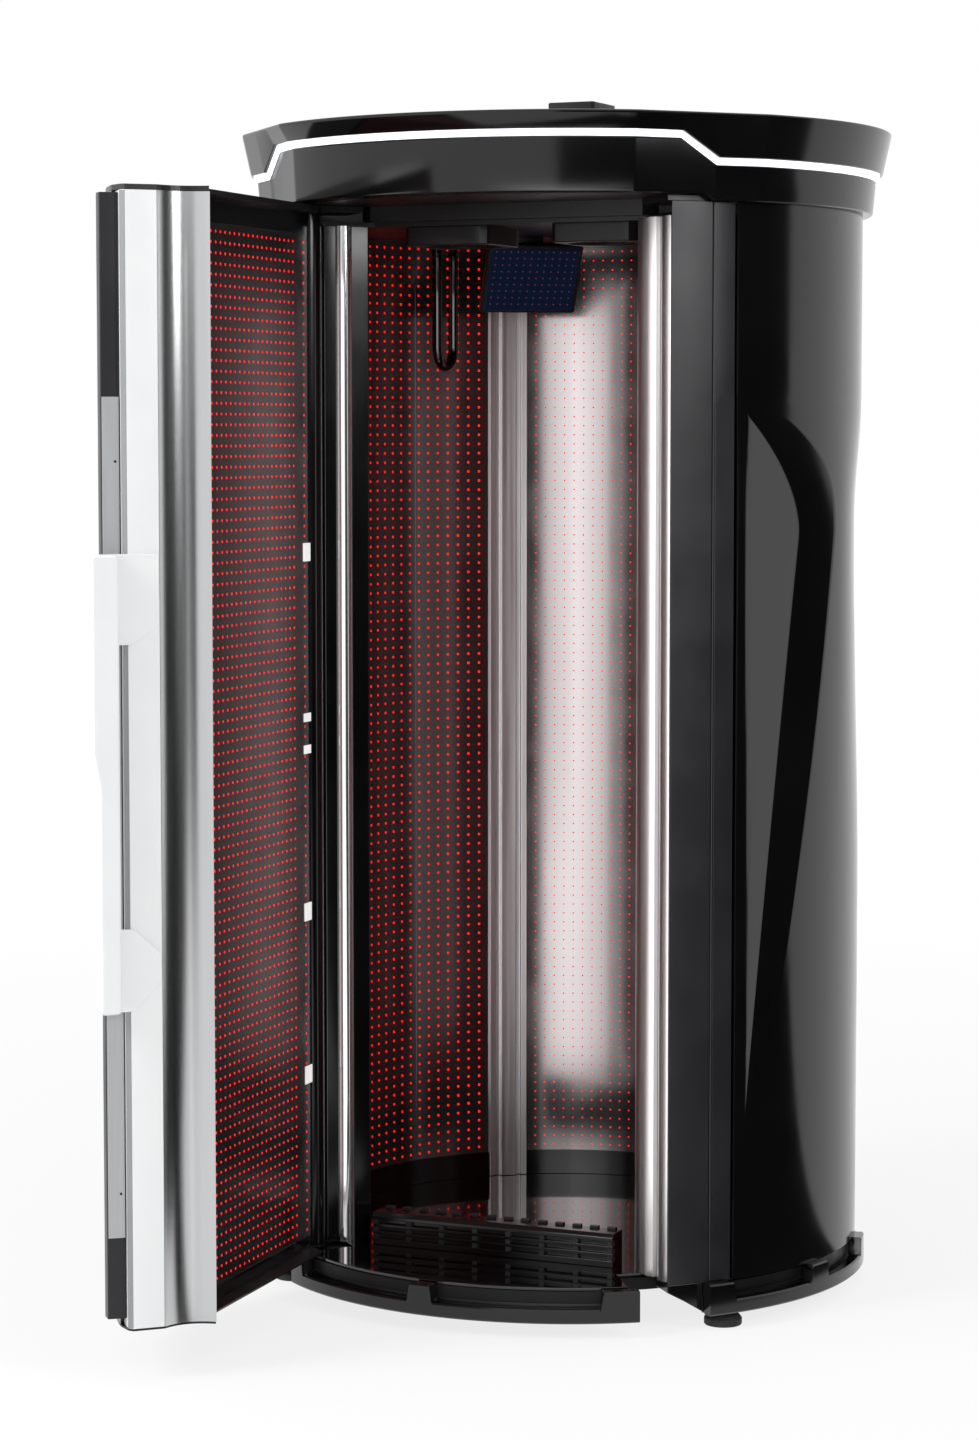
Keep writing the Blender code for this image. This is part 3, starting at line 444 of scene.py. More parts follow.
def spun(profile: Array, centre: tuple[float, float], count: int = 40) -> Array:
    """Sections of a turned piece: each radius and height of the profile is carried round an upright axis.

    Args:
        profile: radius and height of each section.
        centre: plan point of the axis.
        count: points round the axis.

    Returns:
        One closed loop for each point of the profile.
    """
    turn = np.linspace(0, 2 * np.pi, count, endpoint=False)[None, :]
    radius, height = profile[:, :1], profile[:, 1:]
    return np.stack(np.broadcast_arrays(centre[0] + radius * np.cos(turn), centre[1] + radius * np.sin(turn),
                                        height), -1)


def swept(path: Array, radius: float, count: int = 16) -> Array:
    """Sections of a round bar: a circle carried along a path in the plane of its own bends.

    The circle lies across the path's direction at each point, spanned by the plane's normal and the
    cross product of that normal with the direction.

    Args:
        path: points of the path, all in one plane.
        radius: radius of the bar.
        count: points round the bar.

    Returns:
        One closed loop for each point of the path.
    """
    ahead = np.gradient(path, axis=0)
    ahead /= np.linalg.norm(ahead, axis=1, keepdims=True)
    normal = np.linalg.svd(path - path.mean(0))[2][2]
    across = np.cross(ahead, normal)
    turn = np.linspace(0, 2 * np.pi, count, endpoint=False)[None, :, None]
    return path[:, None] + radius * (np.cos(turn) * across[:, None] + np.sin(turn) * normal)


def mesh_of(name: str, points: Array, faces: list, sharp: float = 32.0) -> bpy.types.Object:
    """Puts points and faces into a new object, shaded smooth with sharp edges kept.

    Args:
        name: object name.
        points: vertex places.
        faces: vertex numbers of each face.
        sharp: angle in degrees past which an edge stays sharp.

    Returns:
        The new object at the origin.
    """
    mesh = bpy.data.meshes.new(name)
    mesh.from_pydata(points.reshape(-1, 3).tolist(), [], faces)
    mesh.polygons.foreach_set("use_smooth", np.ones(len(mesh.polygons), bool))
    mesh.set_sharp_from_angle(angle=radians(sharp))
    mesh.update()
    made = bpy.data.objects.new(name, mesh)
    bpy.context.scene.collection.objects.link(made)
    return made


def loft(name: str, sections: Array, ring: bool = False, sharp: float = 32.0) -> bpy.types.Object:
    """Closed body through a row of closed loops, turned so that its volume is positive.

    Quads join each point with the next one of its loop and with the same two of the next loop. A ring
    joins the last loop to the first; any other body is closed by a many-sided face at each end. The
    volume is a sixth of the sum of the triple products of the fan triangles of every face.

    Args:
        name: object name.
        sections: loops by points by three.
        ring: whether the last loop meets the first.
        sharp: angle in degrees past which an edge stays sharp.

    Returns:
        The new object.
    """
    loops, count = sections.shape[:2]
    row = np.arange(loops if ring else loops - 1)[:, None]
    column = np.arange(count)[None, :]
    ahead, beside = (row + 1) % loops, (column + 1) % count
    quads = np.stack([row * count + column, row * count + beside,
                      ahead * count + beside, ahead * count + column], -1).reshape(-1, 4)
    points = sections.reshape(-1, 3)
    corner = points[quads]
    volume = sum(np.einsum("ij,ij->", corner[:, 0], np.cross(corner[:, k], corner[:, k + 1])) for k in (1, 2))
    ends = [] if ring else [np.arange(count)[::-1], (loops - 1) * count + np.arange(count)]
    for end in ends:
        edge = points[end]
        volume += np.einsum("j,ij->", edge[0], np.cross(edge, np.roll(edge, -1, 0)))
    faces = quads.tolist() + [end.tolist() for end in ends]
    return mesh_of(name, points, faces if volume > 0 else [face[::-1] for face in faces], sharp)


def blocks(name: str, centres: Array, halves: Array, axes: Array | None = None) -> bpy.types.Object:
    """Many small boxes in one mesh: each centre plus or minus the half sizes along three axes.

    Args:
        name: object name.
        centres: middle of each box.
        halves: half sizes of each box, or of all.
        axes: three unit vectors for each box, or none for X, Y and Z.

    Returns:
        The new object.
    """
    signs = np.array([(x, y, z) for z in (-1, 1) for y in (-1, 1) for x in (-1, 1)], float)
    axes = np.broadcast_to(np.eye(3), (len(centres), 3, 3)) if axes is None else axes
    reach = signs[None] * np.broadcast_to(halves, (len(centres), 3))[:, None]
    points = centres[:, None] + np.einsum("nki,nij->nkj", reach, axes)
    sides = np.array([(0, 2, 3, 1), (4, 5, 7, 6), (0, 1, 5, 4), (2, 6, 7, 3), (0, 4, 6, 2), (1, 3, 7, 5)])
    turned = np.where(np.linalg.det(axes)[:, None, None] > 0, sides[None], sides[None, :, ::-1])
    faces = (turned + 8 * np.arange(len(centres))[:, None, None]).reshape(-1, 4)
    return mesh_of(name, points, faces.tolist())


def domes(name: str, centres: Array, normals: Array, radius: float, height: float) -> bpy.types.Object:
    """Many low domes in one mesh, six-sided with one middle ring, each along its own normal.

    A dome's base ring has the full radius, its middle ring seven tenths of it at three quarters of the
    height, and its top is one point.

    Args:
        name: object name.
        centres: middle of each dome's base.
        normals: unit vector away from the surface, level.
        radius: radius of the base.
        height: height of the top.

    Returns:
        The new object.
    """
    turn = np.radians(np.arange(6) * 60.0)
    ring = np.stack([np.cos(turn), np.sin(turn)], -1)
    local = np.concatenate([np.c_[ring * radius, np.full(6, -0.0001)],
                            np.c_[ring * radius * 0.7, np.full(6, height * 0.75)], [[0, 0, height]]])
    up = np.array((0.0, 0.0, 1.0))
    side = np.cross(up, normals)
    points = (centres[:, None] + local[None, :, :1] * side[:, None] + local[None, :, 1:2] * up
              + local[None, :, 2:] * normals[:, None])
    k = np.arange(6)
    beside = (k + 1) % 6
    low = np.stack([k, beside, beside + 6, k + 6], -1)
    top = np.stack([k + 6, beside + 6, np.full(6, 12)], -1)
    shift = 13 * np.arange(len(centres))[:, None, None]
    faces = (low + shift).reshape(-1, 4).tolist() + (top + shift).reshape(-1, 3).tolist()
    return mesh_of(name, points, faces, 80.0)


def soften(piece: bpy.types.Object, width: float, segments: int = 2, limit: float = 40.0) -> bpy.types.Object:
    """Rounds the sharp edges of a piece with a live bevel.

    Args:
        piece: piece to round.
        width: width of the bevel.
        segments: number of its segments.
        limit: angle in degrees past which an edge is rounded.

    Returns:
        The piece.
    """
    bevel = piece.modifiers.new("edges", "BEVEL")
    bevel.width = width
    bevel.segments = segments
    bevel.limit_method = "ANGLE"
    bevel.angle_limit = radians(limit)
    bevel.harden_normals = True
    return piece


def settle(piece: bpy.types.Object, body: Body, finish: Finish, *nodes: str) -> bpy.types.Object:
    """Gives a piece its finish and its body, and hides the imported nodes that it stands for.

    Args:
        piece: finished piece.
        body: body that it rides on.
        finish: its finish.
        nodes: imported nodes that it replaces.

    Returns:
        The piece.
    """
    piece.data.materials.append(finish.material())
    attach(piece, body.value)
    if nodes:
        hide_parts(*nodes)
    LOG.info("%s rides on %s with %d faces", piece.name, body.value, len(piece.data.polygons))
    return piece


def dress(finish: Finish, *nodes: str) -> None:
    """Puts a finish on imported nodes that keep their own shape.

    Args:
        finish: finish for the nodes.
        nodes: names of the nodes.
    """
    for name in nodes:
        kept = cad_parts[name]
        kept.data.materials.clear()
        kept.data.materials.append(finish.material())
        LOG.info("%s keeps its shape", name)


@dataclass
class Base:
    """Base of the cabin: skirt and bumper with air windows, pan, floor, feet and door sill.

    Attributes:
        width: radial width of the skirt.
        z_low: underside of the skirt.
        z_window: lower edge of the air windows.
        rib: angle of a rib between two windows.
        gap_left: plan angles of the gap in the skirt beside the hinge.
        gap_right: plan angles of the gap in the skirt beside the latch.
        front_windows: first and last plan angle of each window in the bumper.
        bumper: plan angles of the bumper.
        pan: outer radius of the pan and its radius in the two gaps.
        pan_z: underside and top of the pan.
        floor: radius of the floor and its radius in the doorway.
        floor_front: plan angles of the doorway's part of the floor.
        shade_sheet: inner and outer radius of the dark sheets behind the air windows, which stand in for the
            shade inside the base.
        shade_sheet_z: underside and top of the two such sheets under the pan.
        foot_ring: radius on which the outer feet stand.
        sill_x: left and right end of the door sill.
        sill_y: front and back of the door sill.
        sill_top: top of the door sill.
    """

    width: float = 0.025
    z_low: float = 0.030
    z_window: float = 0.056
    rib: float = 5.0
    gap_left: tuple[float, float] = (-50.0, -46.0)
    gap_right: tuple[float, float] = (35.5, 50.0)
    front_windows: tuple[tuple[float, float], ...] = ((-35.0, -6.0), (-2.0, 30.0))
    bumper: tuple[float, float] = (-39.0, 36.5)
    pan: tuple[float, float] = (0.5592, 0.470)
    pan_z: tuple[float, float] = (0.062, 0.0845)
    floor: tuple[float, float] = (0.4585, 0.5562)
    floor_front: tuple[float, float] = (-37.5, 35.0)
    shade_sheet: tuple[float, float] = (0.5515, 0.5555)
    shade_sheet_z: tuple[float, float] = (0.0310, 0.0618)
    foot_ring: float = 0.535
    sill_x: tuple[float, float] = (-0.256, 0.238)
    sill_y: tuple[float, float] = (-0.334, -0.285)
    sill_top: float = 0.1533

    def rail(self, name: str, start: float, end: float, windows: Array) -> bpy.types.Object:
        """Rail of the skirt: a chamfered section carried round the axis, its top dipping in each window.

        The top height is the base's top less the window's depth times a smooth step of the distance to
        the nearest window end over 0.6 degrees.

        Args:
            name: object name.
            start: first plan angle.
            end: last plan angle.
            windows: first and last plan angle of each window.

        Returns:
            The rail.
        """
        angle = np.linspace(start, end, int((end - start) * 5) + 1)
        inside = np.minimum(angle - windows[:, :1], windows[:, 1:] - angle).max(0)
        top = PLAN.z_base - (PLAN.z_base - self.z_window) * smooth(inside / 0.6)
        edge, inner = 0.003, PLAN.base - self.width
        radius = np.array([inner + edge, PLAN.base - edge, PLAN.base, PLAN.base,
                           PLAN.base - edge, inner + edge, inner, inner])
        low = np.array([0, 0, edge, 0, 0, 0, 0, edge]) + self.z_low
        drop = np.array([0, 0, 0, -edge, 0, 0, -edge, 0])
        high = np.array([0, 0, 0, 1, 1, 1, 1, 0], bool)
        height = np.where(high, top[:, None] + drop, low)
        plan = polar(radius[None, :], angle[:, None])
        return loft(name, np.concatenate([plan, height[..., None]], -1))

    def build(self) -> None:
        """Builds and dresses every piece of the base."""
        step = (360 + self.gap_left[0] - self.gap_right[1] - self.rib) / 10
        begin = self.gap_right[1] + self.rib + step * np.arange(10)
        windows = np.stack([begin, begin + step - self.rib], -1)
        settle(self.rail("skirt_rail", self.gap_right[1], 360 + self.gap_left[0], windows),
               Body.CABIN, GLOSS_ABS, "base_skirt")
        settle(self.rail("bumper_rail", *self.bumper, np.array(self.front_windows)),
               Body.CABIN, GLOSS_ABS, "front_bumper")
        around = self.gap_right[1], 360 + self.gap_left[0]
        full, gap = self.pan
        edge = np.concatenate([arc(full, *around), arc(gap, *self.gap_left),
                               arc(full, self.gap_left[1], self.gap_right[0]), arc(gap, *self.gap_right)])
        settle(soften(loft("pan", stacked(edge, self.pan_z)), 0.001), Body.CABIN, ANODISED, "base_pan")
        left, right = self.floor_front
        edge = np.concatenate([arc(self.floor[0], right, 360 + left), arc(self.floor[1], left, right)])
        settle(soften(loft("floor_sheet", stacked(edge, (0.0848, PLAN.z_floor))), 0.001),
               Body.CABIN, MIRROR_BLACK, "floor_plate")
        # The three dark satin sheets behind the air windows stand in for the shade inside the base.
        for name, start, end, height in (("window_shade_sheet", *around, (0.0850, 0.0882)),
                                         ("pan_shade_sheet_rear", *around, self.shade_sheet_z),
                                         ("pan_shade_sheet_front", self.bumper[0], self.gap_right[0], self.shade_sheet_z)):
            ring = loft(name, stacked(sector(*self.shade_sheet, start, end), height))
            settle(soften(ring, 0.0004), Body.CABIN, SATIN_ABS)
        self.jamb_foot()
        self.feet()
        self.sill()

    def jamb_foot(self) -> None:
        """Foot of the right jamb: a block whose underside falls in three steps of plan angle."""
        plan = polar(np.array((0.500, 0.557, 0.557, 0.500))[None], np.array((42.6, 46.0, 49.9))[:, None])
        under = np.array([(0.0740, 0.0740), (0.0560, 0.0640), (0.0330, 0.0500)])
        level = np.concatenate([np.full((3, 2), PLAN.z_base), under], -1)
        block = loft("jamb_foot", np.concatenate([plan, level[..., None]], -1))
        settle(soften(block, 0.0015), Body.CABIN, GLOSS_ABS)

    def feet(self) -> None:
        """Feet turned from a profile of a threaded stem, a lock nut, a cone and a soft pad."""
        ridge = np.arange(12)
        thread = np.stack([0.016 - 0.0012 * (ridge % 2), 0.0617 - 0.0022 * ridge], -1)
        pad = np.array([(0.016, 0.0352), (0.021, 0.0345), (0.021, 0.0275), (0.024, 0.0262), (0.029, 0.0195),
                        (0.0338, 0.0138), (0.035, 0.012), (0.035, 0.002), (0.0335, 0.0)])
        profile = np.concatenate([thread, pad])
        places = {"foot_front_left": -56.0, "foot_front_right": 56.0, "foot_rear_left": -142.0,
                  "foot_rear_right": 142.0, "foot_centre": None}
        for node, angle in places.items():
            centre = (0.0, 0.0) if angle is None else tuple(polar(self.foot_ring, angle))
            settle(loft(node + "_turned", spun(profile, centre)), Body.CABIN, RUBBER, node)

    def sill(self) -> None:
        """Door sill: a grooved section carried along X, with ribs that part the grooves into slots."""
        front, back = self.sill_y
        low, top = PLAN.z_wall, self.sill_top
        height = np.array((0.103, 0.117, 0.131))[:, None] + (0.0, 0.0, 0.008, 0.008)
        depth = np.broadcast_to((0.0, 0.009, 0.009, 0.0), (3, 4))
        face = np.stack([front + depth.ravel(), height.ravel()], -1)
        section = np.concatenate([[(back, low), (front, low)], face,
                                  [(front, top - 0.007), (front + 0.006, top), (back, top)]])
        ends = np.array(self.sill_x)[:, None, None]
        sections = np.concatenate([np.broadcast_to(ends, (2, len(section), 1)),
                                   np.broadcast_to(section, (2, *section.shape))], -1)
        settle(soften(loft("sill_body", sections), 0.0012), Body.CABIN, GLOSS_ABS, "door_sill")
        at = np.linspace(self.sill_x[0] + 0.006, self.sill_x[1] - 0.006, 8)
        ribs = np.stack([at, np.full(8, front + 0.0053), np.full(8, 0.121)], -1)
        settle(blocks("sill_ribs", ribs, np.array((0.005, 0.0045, 0.019))), Body.CABIN, SATIN_ABS)
        at = np.linspace(self.sill_x[0] + 0.018, self.sill_x[1] - 0.018, 14)
        teeth = np.stack([at, np.full(14, back - 0.006), np.full(14, top + 0.0022)], -1)
        settle(soften(blocks("sill_teeth", teeth, np.array((0.0085, 0.005, 0.0025))), 0.0008),
               Body.CABIN, GRAPHITE_PAINT)


@dataclass
class LightWalls:
    """Curved light panels with their lenses, skirting, module seams and the rear posts between them.

    Attributes:
        panel: thickness of a light panel.
        spans: first and last plan angle of each panel, the angle between two columns of its lenses and
            the radius of a lens.
        row: height between two rows of lenses.
        skirting: height of the skirting strips.
        post_from: first plan angle of a rear post.
        post_to: last plan angle of a rear post.
    """

    panel: float = 0.004
    spans: tuple[tuple[str, float, float, float, float], ...] = (
        ("left", -52.0, -136.955, 2.95, 0.0029), ("back", 147.045, 212.955, 2.45, 0.0019),
        ("right", 52.0, 136.955, 2.45, 0.0024))
    row: float = 0.0187
    skirting: float = 0.050
    post_from: float = 137.0
    post_to: float = 147.0

    def build(self) -> None:
        """Builds and dresses the panels, lenses, skirting strips, seams and posts."""
        for name, start, end, pitch, lens in self.spans:
            sheet = loft("light_sheet_" + name, stacked(
                sector(PLAN.wall, PLAN.wall + self.panel, start, end), (PLAN.z_wall, PLAN.wall_top)))
            settle(sheet, Body.CABIN, SMOKED_ACRYLIC, "led_panel_" + name)
            strip = loft("skirting_" + name, stacked(sector(PLAN.wall - 0.0025, PLAN.wall - 0.0002, start, end),
                                                     (PLAN.z_wall, PLAN.z_wall + self.skirting)))
            settle(soften(strip, 0.0006), Body.CABIN, GLOSS_ABS)
            self.lenses(name, min(start, end), max(start, end), pitch, lens)
            self.seams(name, min(start, end), max(start, end))
        dress(BOARD, "led_board_left", "led_board_back", "led_board_right")
        self.posts()

    def lenses(self, name: str, start: float, end: float, pitch: float, lens: float) -> None:
        """Lenses on an even grid of plan angles and heights, facing the axis.

        Args:
            name: panel name.
            start: first plan angle.
            end: last plan angle.
            pitch: angle between two columns.
            lens: radius of a lens.
        """
        count = int((end - start - pitch) / pitch) + 1
        angle = (start + end) / 2 + pitch * (np.arange(count) - (count - 1) / 2)
        height = np.arange(PLAN.z_wall + 0.062, PLAN.wall_top - 0.006, self.row)
        turn, level = (grid.ravel() for grid in np.meshgrid(angle, height))
        centres = np.c_[polar(PLAN.wall, turn), level]
        normals = np.c_[-polar(1.0, turn), np.zeros(len(turn))]
        settle(domes("lenses_" + name, centres, normals, lens, 0.0007), Body.CABIN, RED_LENS)

    def seams(self, name: str, start: float, end: float) -> None:
        """Thin upright joint strips that part a panel into four modules.

        Args:
            name: panel name.
            start: first plan angle.
            end: last plan angle.
        """
        angle = np.linspace(start, end, 5)[1:-1]
        outward = np.c_[polar(1.0, angle), np.zeros(3)]
        up = np.broadcast_to((0.0, 0.0, 1.0), (3, 3))
        axes = np.stack([np.cross(up, outward), outward, up], 1)
        middle = (PLAN.z_wall + self.skirting + PLAN.wall_top) / 2
        centres = outward * (PLAN.wall - 0.0001) + np.array((0, 0, middle))
        halves = np.array((0.0016, 0.0004, (PLAN.wall_top - PLAN.z_wall - 0.052) / 2))
        settle(blocks("module_seams_" + name, centres, halves, axes), Body.CABIN, SMOKED_ACRYLIC)

    def posts(self) -> None:
        """Rear posts: a fluted plan outline, extruded, and its mirror image."""
        first, last, rib, flute = self.post_from, self.post_to, PLAN.wall - 0.010, PLAN.wall - 0.002
        outline = np.concatenate([
            arc(PLAN.wall + 0.040, first, last), arc(rib + 0.004, last, last - 1.6, 0.4),
            arc(flute, last - 1.7, last - 2.9, 0.4), arc(rib, last - 3.0, first + 3.0, 0.4),
            arc(flute, first + 2.9, first + 1.7, 0.4), arc(rib + 0.004, first + 1.6, first, 0.4)])
        for side, shape in ((Side.RIGHT, outline), (Side.LEFT, mirrored(outline))):
            name = side.name.lower()
            post = loft("fluted_post_" + name, stacked(shape, (PLAN.z_wall, PLAN.wall_top)))
            settle(soften(post, 0.0012, limit=50.0), Body.CABIN, SATIN_ALU, "rear_post_" + name)


@dataclass
class FrontFrame:
    """Posts on either side of the door opening, their polished reveals and their covers.

    Attributes:
        cover: outer radius of the jamb covers.
        cover_top: top of the jamb covers.
        cover_edge: rounding of the covers.
        skin_from: plan angle at which the outer skins begin.
        cover_joint: plan angle at which the inner covers meet the outer ones.
        latch_reveal: inner and outer radius of the reveal on the latch side.
        front_reveal: inner and outer radius of the strip before it.
        hinge_reveal: outer and inner radius of the reveal on the hinge side.
        hinge_face: plan angle of the reveal on the hinge side.
        pad_z: lowest and highest point of the pads on the outer covers.
        pad_a: first and last plan angle of the pads.
    """

    cover: float = 0.556
    cover_top: float = 2.0447
    cover_edge: float = 0.0022
    skin_from: float = 56.0
    cover_joint: float = 51.0
    latch_reveal: tuple[float, float] = (0.407, 0.4955)
    front_reveal: tuple[float, float] = (0.4975, 0.5445)
    hinge_reveal: tuple[float, float] = (0.470, 0.440)
    hinge_face: float = -43.06
    pad_z: tuple[float, float] = (0.235, 1.70)
    pad_a: tuple[float, float] = (51.5, 55.7)

    def upright(self, name: str, outline: Array, low: float, high: float, finish: Finish,
                node: str, edge: float = 0.002) -> None:
        """Extrudes a coarse plan outline with rounded corners and dresses it.

        Args:
            name: object name.
            outline: corners in plan.
            low: underside.
            high: top.
            finish: its finish.
            node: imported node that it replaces.
            edge: rounding of its corners.
        """
        piece = loft(name, stacked(rounded(outline, edge), (low, high)))
        settle(soften(piece, 0.001, limit=60.0), Body.CABIN, finish, node)

    def build(self) -> None:
        """Builds and dresses the posts, reveals and covers."""
        jamb, back, reveal, latch = PLAN.jamb, PLAN.post_back, PLAN.reveal, PLAN.latch
        corners = polar(np.array([reveal, latch, latch, reveal]),
                        np.array([jamb + 1.5, jamb + 1.5, back, back]))
        self.upright("post_latch_side", corners, PLAN.z_wall, PLAN.wall_top, GLOSS_ABS, "latch_post")
        corners = polar(np.array([reveal, latch, latch, 0.494, 0.494, reveal]),
                        np.array([-back, -back, -47.8, -45.2, -jamb - 1.6, -jamb - 1.6]))
        self.upright("post_hinge_side", corners, PLAN.z_wall, PLAN.wall_top, GLOSS_ABS, "hinge_post")
        self.reveals()
        self.covers()

    def reveals(self) -> None:
        """Polished reveals: a chord that bulges into the opening, closed by a flat back and extruded."""
        jamb, face = PLAN.jamb, self.hinge_face
        for name, (start, end), at, behind, swell, count, finish, nodes in (
                ("reveal_latch_side", self.latch_reveal, jamb, jamb + 1.46, 0.014, 56, SATIN_ALU,
                 ("latch_column",)),
                ("reveal_front_strip", self.front_reveal, jamb + 1.0, jamb + 1.46, 0.006, 32, SATIN_ALU, ()),
                ("reveal_hinge_side", self.hinge_reveal, face, face - 0.5, 0.007, 32, POLISHED_ALU,
                 ("hinge_column",))):
            outline = np.concatenate([swelled(polar(start, at), polar(end, at), swell, count),
                                      polar(np.array([end, start]), behind)])
            settle(loft(name, stacked(outline, (PLAN.z_wall, PLAN.wall_top))), Body.CABIN, finish, *nodes)

    def covers(self) -> None:
        """Jamb covers on both sides of the opening, their pads, and fillers under the cap."""
        latch, out, jamb, joint = PLAN.latch + PLAN.fit, self.cover, PLAN.jamb, self.cover_joint
        right = polar(np.array([latch, out, out + 0.003, latch]),
                      np.array([jamb + 1.5, jamb + 0.6, joint, joint]))
        left = polar(np.array([latch, out + 0.003, out + 0.001, latch]),
                     np.array([-joint, -joint, -47.7, -47.9]))
        inside, under, end = PLAN.latch - 0.012, PLAN.latch + 0.001, self.skin_from - 0.1
        start, step = PLAN.post_back + 0.1, joint + 0.15
        outer = polar(np.array([inside, under, under, out + 0.002, out + 0.003, inside]),
                      np.array([start, start, step, step, end, end]))
        for name, outline, node in (("jamb_cover_right", right, "right_cover_inner"),
                                    ("jamb_cover_left", left, "left_cover_inner"),
                                    ("corner_cover_right", outer, "right_cover_outer"),
                                    ("corner_cover_left", mirrored(outer), "left_cover_outer")):
            self.upright(name, outline, PLAN.z_base + PLAN.fit, self.cover_top, GRAPHITE_PAINT, node,
                         self.cover_edge)
        self.pads(out + 0.0022)
        for side in (Side.RIGHT, Side.LEFT):
            filler = sector(0.42, 0.5530, side.value * jamb, side.value * end)
            piece = loft("head_filler_" + side.name.lower(), stacked(filler, (2.0449, 2.0563)))
            settle(soften(piece, 0.001), Body.CABIN, SATIN_ABS)

    def pads(self, foot: float) -> None:
        """Raised pads on the outer covers: a piece of a ring whose ends narrow to half over a chamfer.

        Args:
            foot: inner radius of the pads, within the covers.
        """
        low, high, chamfer = *self.pad_z, 0.014
        z = np.array((low, low + chamfer, high - chamfer, high))
        first, last = self.pad_a
        start, end = first + np.array((1.2, 0.0, 0.0, 1.2)), np.full(4, last)
        angle = np.stack([start, end, end, start], -1)
        radius = np.broadcast_to((foot + 0.0022, foot + 0.0022, foot, foot), (4, 4))
        for side in (Side.RIGHT, Side.LEFT):
            plan = polar(radius, side.value * angle)
            sections = np.concatenate([plan, np.broadcast_to(z[:, None, None], (4, 4, 1))], -1)
            pad = loft("cover_pad_" + side.name.lower(), sections)
            settle(soften(pad, 0.0006), Body.CABIN, GRAPHITE_PAINT)


@dataclass
class OuterShell:
    """Side skins drawn in at hip height, each with a pressed flat field and a ramp, and the rear cover.

    Attributes:
        skin: thickness of the skins.
        span: first and last plan angle of a side skin.
        waist: how far the skins draw in at hip height.
        swell: how far the skins stand out beside the waist.
        hip: height of the narrowest place.
        hip_top: height at which the waist has run out above.
        hip_low: height at which the waist has run out below.
        waist_turn: plan angle at which the waist begins, and the angle over which it comes in.
        field_from: plan angle of the field's front edge, flush with the skin.
        field: widest angle of the flat of the field.
        field_hip: height of the field's widest place.
        field_z: foot and top of the flat.
        ramp: widest angle of the ramp behind the flat.
        ramp_low: angle of the ramp at the foot of the field.
        ramp_top: top of the ramp.
        faces: plan direction that the flat of the field faces.
        rows: number of heights.
        z_low: underside of the skins.
        z_high: top of the skins.
    """

    skin: float = 0.005
    span: tuple[float, float] = (56.0, 150.0)
    waist: float = 0.016
    swell: float = 0.003
    hip: float = 1.47
    hip_top: float = 1.70
    hip_low: float = 0.74
    waist_turn: tuple[float, float] = (86.0, 24.0)
    field_from: float = 57.4
    field: float = 18.0
    field_hip: float = 1.45
    field_z: tuple[float, float] = (0.30, 1.67)
    ramp: float = 8.8
    ramp_low: float = 1.0
    ramp_top: float = 1.70
    faces: float = 75.0
    rows: int = 190
    z_low: float = 0.0885
    z_high: float = 2.045

    def edges(self, z: Array) -> tuple[Array, Array]:
        """Plan angles of the rear edges of the flat and of the ramp.

        Below its widest place the flat narrows to its foot by the power 1.1 of the height's share, and
        above it by the power 1.8. The ramp narrows beside it below, by the power 2.2 of what is left of
        the rise, and closes by the power 2.7 above.

        Args:
            z: heights.

        Returns:
            The flat's edge and the ramp's edge at each height.
        """
        low, top = self.field_z
        under = np.clip((z - low) / (self.field_hip - low), 0, 1)
        over = np.clip((z - self.field_hip) / (top - self.field_hip), 0, 1)
        above = np.clip((z - self.field_hip) / (self.ramp_top - self.field_hip), 0, 1)
        flat = self.field_from + self.field * np.where(z > self.field_hip, 1 - over ** 1.8, under ** 1.1)
        ramp = np.where(z > self.field_hip, self.field_from + (self.field + self.ramp) * (1 - above ** 2.7),
                        flat + self.ramp_low + (self.ramp - self.ramp_low) * (1 - (1 - under) ** 2.2))
        return flat, ramp

    def body(self, angle: Array, z: Array) -> Array:
        """Outer radius without the field: body and swell, less the waist by smooth steps of height and angle.

        Args:
            angle: plan angle from the front, 0 to 180.
            z: height.

        Returns:
            Radii, one for each angle and height.
        """
        rise = np.where(z > self.hip, (self.hip_top - z) / (self.hip_top - self.hip),
                        (z - self.hip_low) / (self.hip - self.hip_low))
        start, over = self.waist_turn
        drawn = self.waist * smooth(rise) * smooth((angle - start) / over)
        return PLAN.body + self.swell - drawn - self.swell * smooth(1 - rise)

    def radius(self, angle: Array, z: Array) -> Array:
        """Outer radius at a plan angle and a height.

        On the flat it is that of a plane across the plan: the plane's distance from the axis divided by
        the cosine of the angle from its facing. On the ramp it runs evenly from the flat to the body.

        Args:
            angle: plan angle from the front, 0 to 180.
            z: height.

        Returns:
            Radii, one for each angle and height.
        """
        flat, ramp = self.edges(z)
        body, reach = self.body(angle, z), cos(radians(self.faces - self.field_from))
        inner = np.minimum(angle, flat)
        plane = (PLAN.body + self.swell) * reach / np.cos(np.radians(inner - self.faces))
        face = np.minimum(plane, self.body(inner, z))
        share = np.clip((angle - flat) / np.maximum(ramp - flat, 0.01), 0, 1)
        return np.where((angle <= self.field_from) | (angle >= ramp), body, face + (body - face) * share)

    def columns(self, z: Array) -> Array:
        """Plan angles of a side skin's columns, which follow the field's edges and crowd beside them.

        Each zone between two edges is shared out by a fixed row of shares, closer at its ends.

        Args:
            z: heights.

        Returns:
            One row of angles for each height.
        """
        flat, ramp = self.edges(z)
        flat = np.maximum(flat, self.field_from + 0.6)
        ramp = np.maximum(ramp, flat + 0.8)
        stops = np.stack(np.broadcast_arrays(self.span[0], self.field_from, flat, ramp, self.span[1]), -1)
        crowd = np.array((0.0, 0.05, 0.15, 0.35, 0.55, 0.75, 0.87, 0.95))
        plain = np.r_[0.0, 0.008, np.linspace(0.025, 1, 78)]
        share = np.concatenate([crowd, 1 + crowd, 2 + crowd, 3 + plain])
        zone = np.minimum(share.astype(int), 3)
        return stops[:, zone] + (stops[:, zone + 1] - stops[:, zone]) * (share - zone)

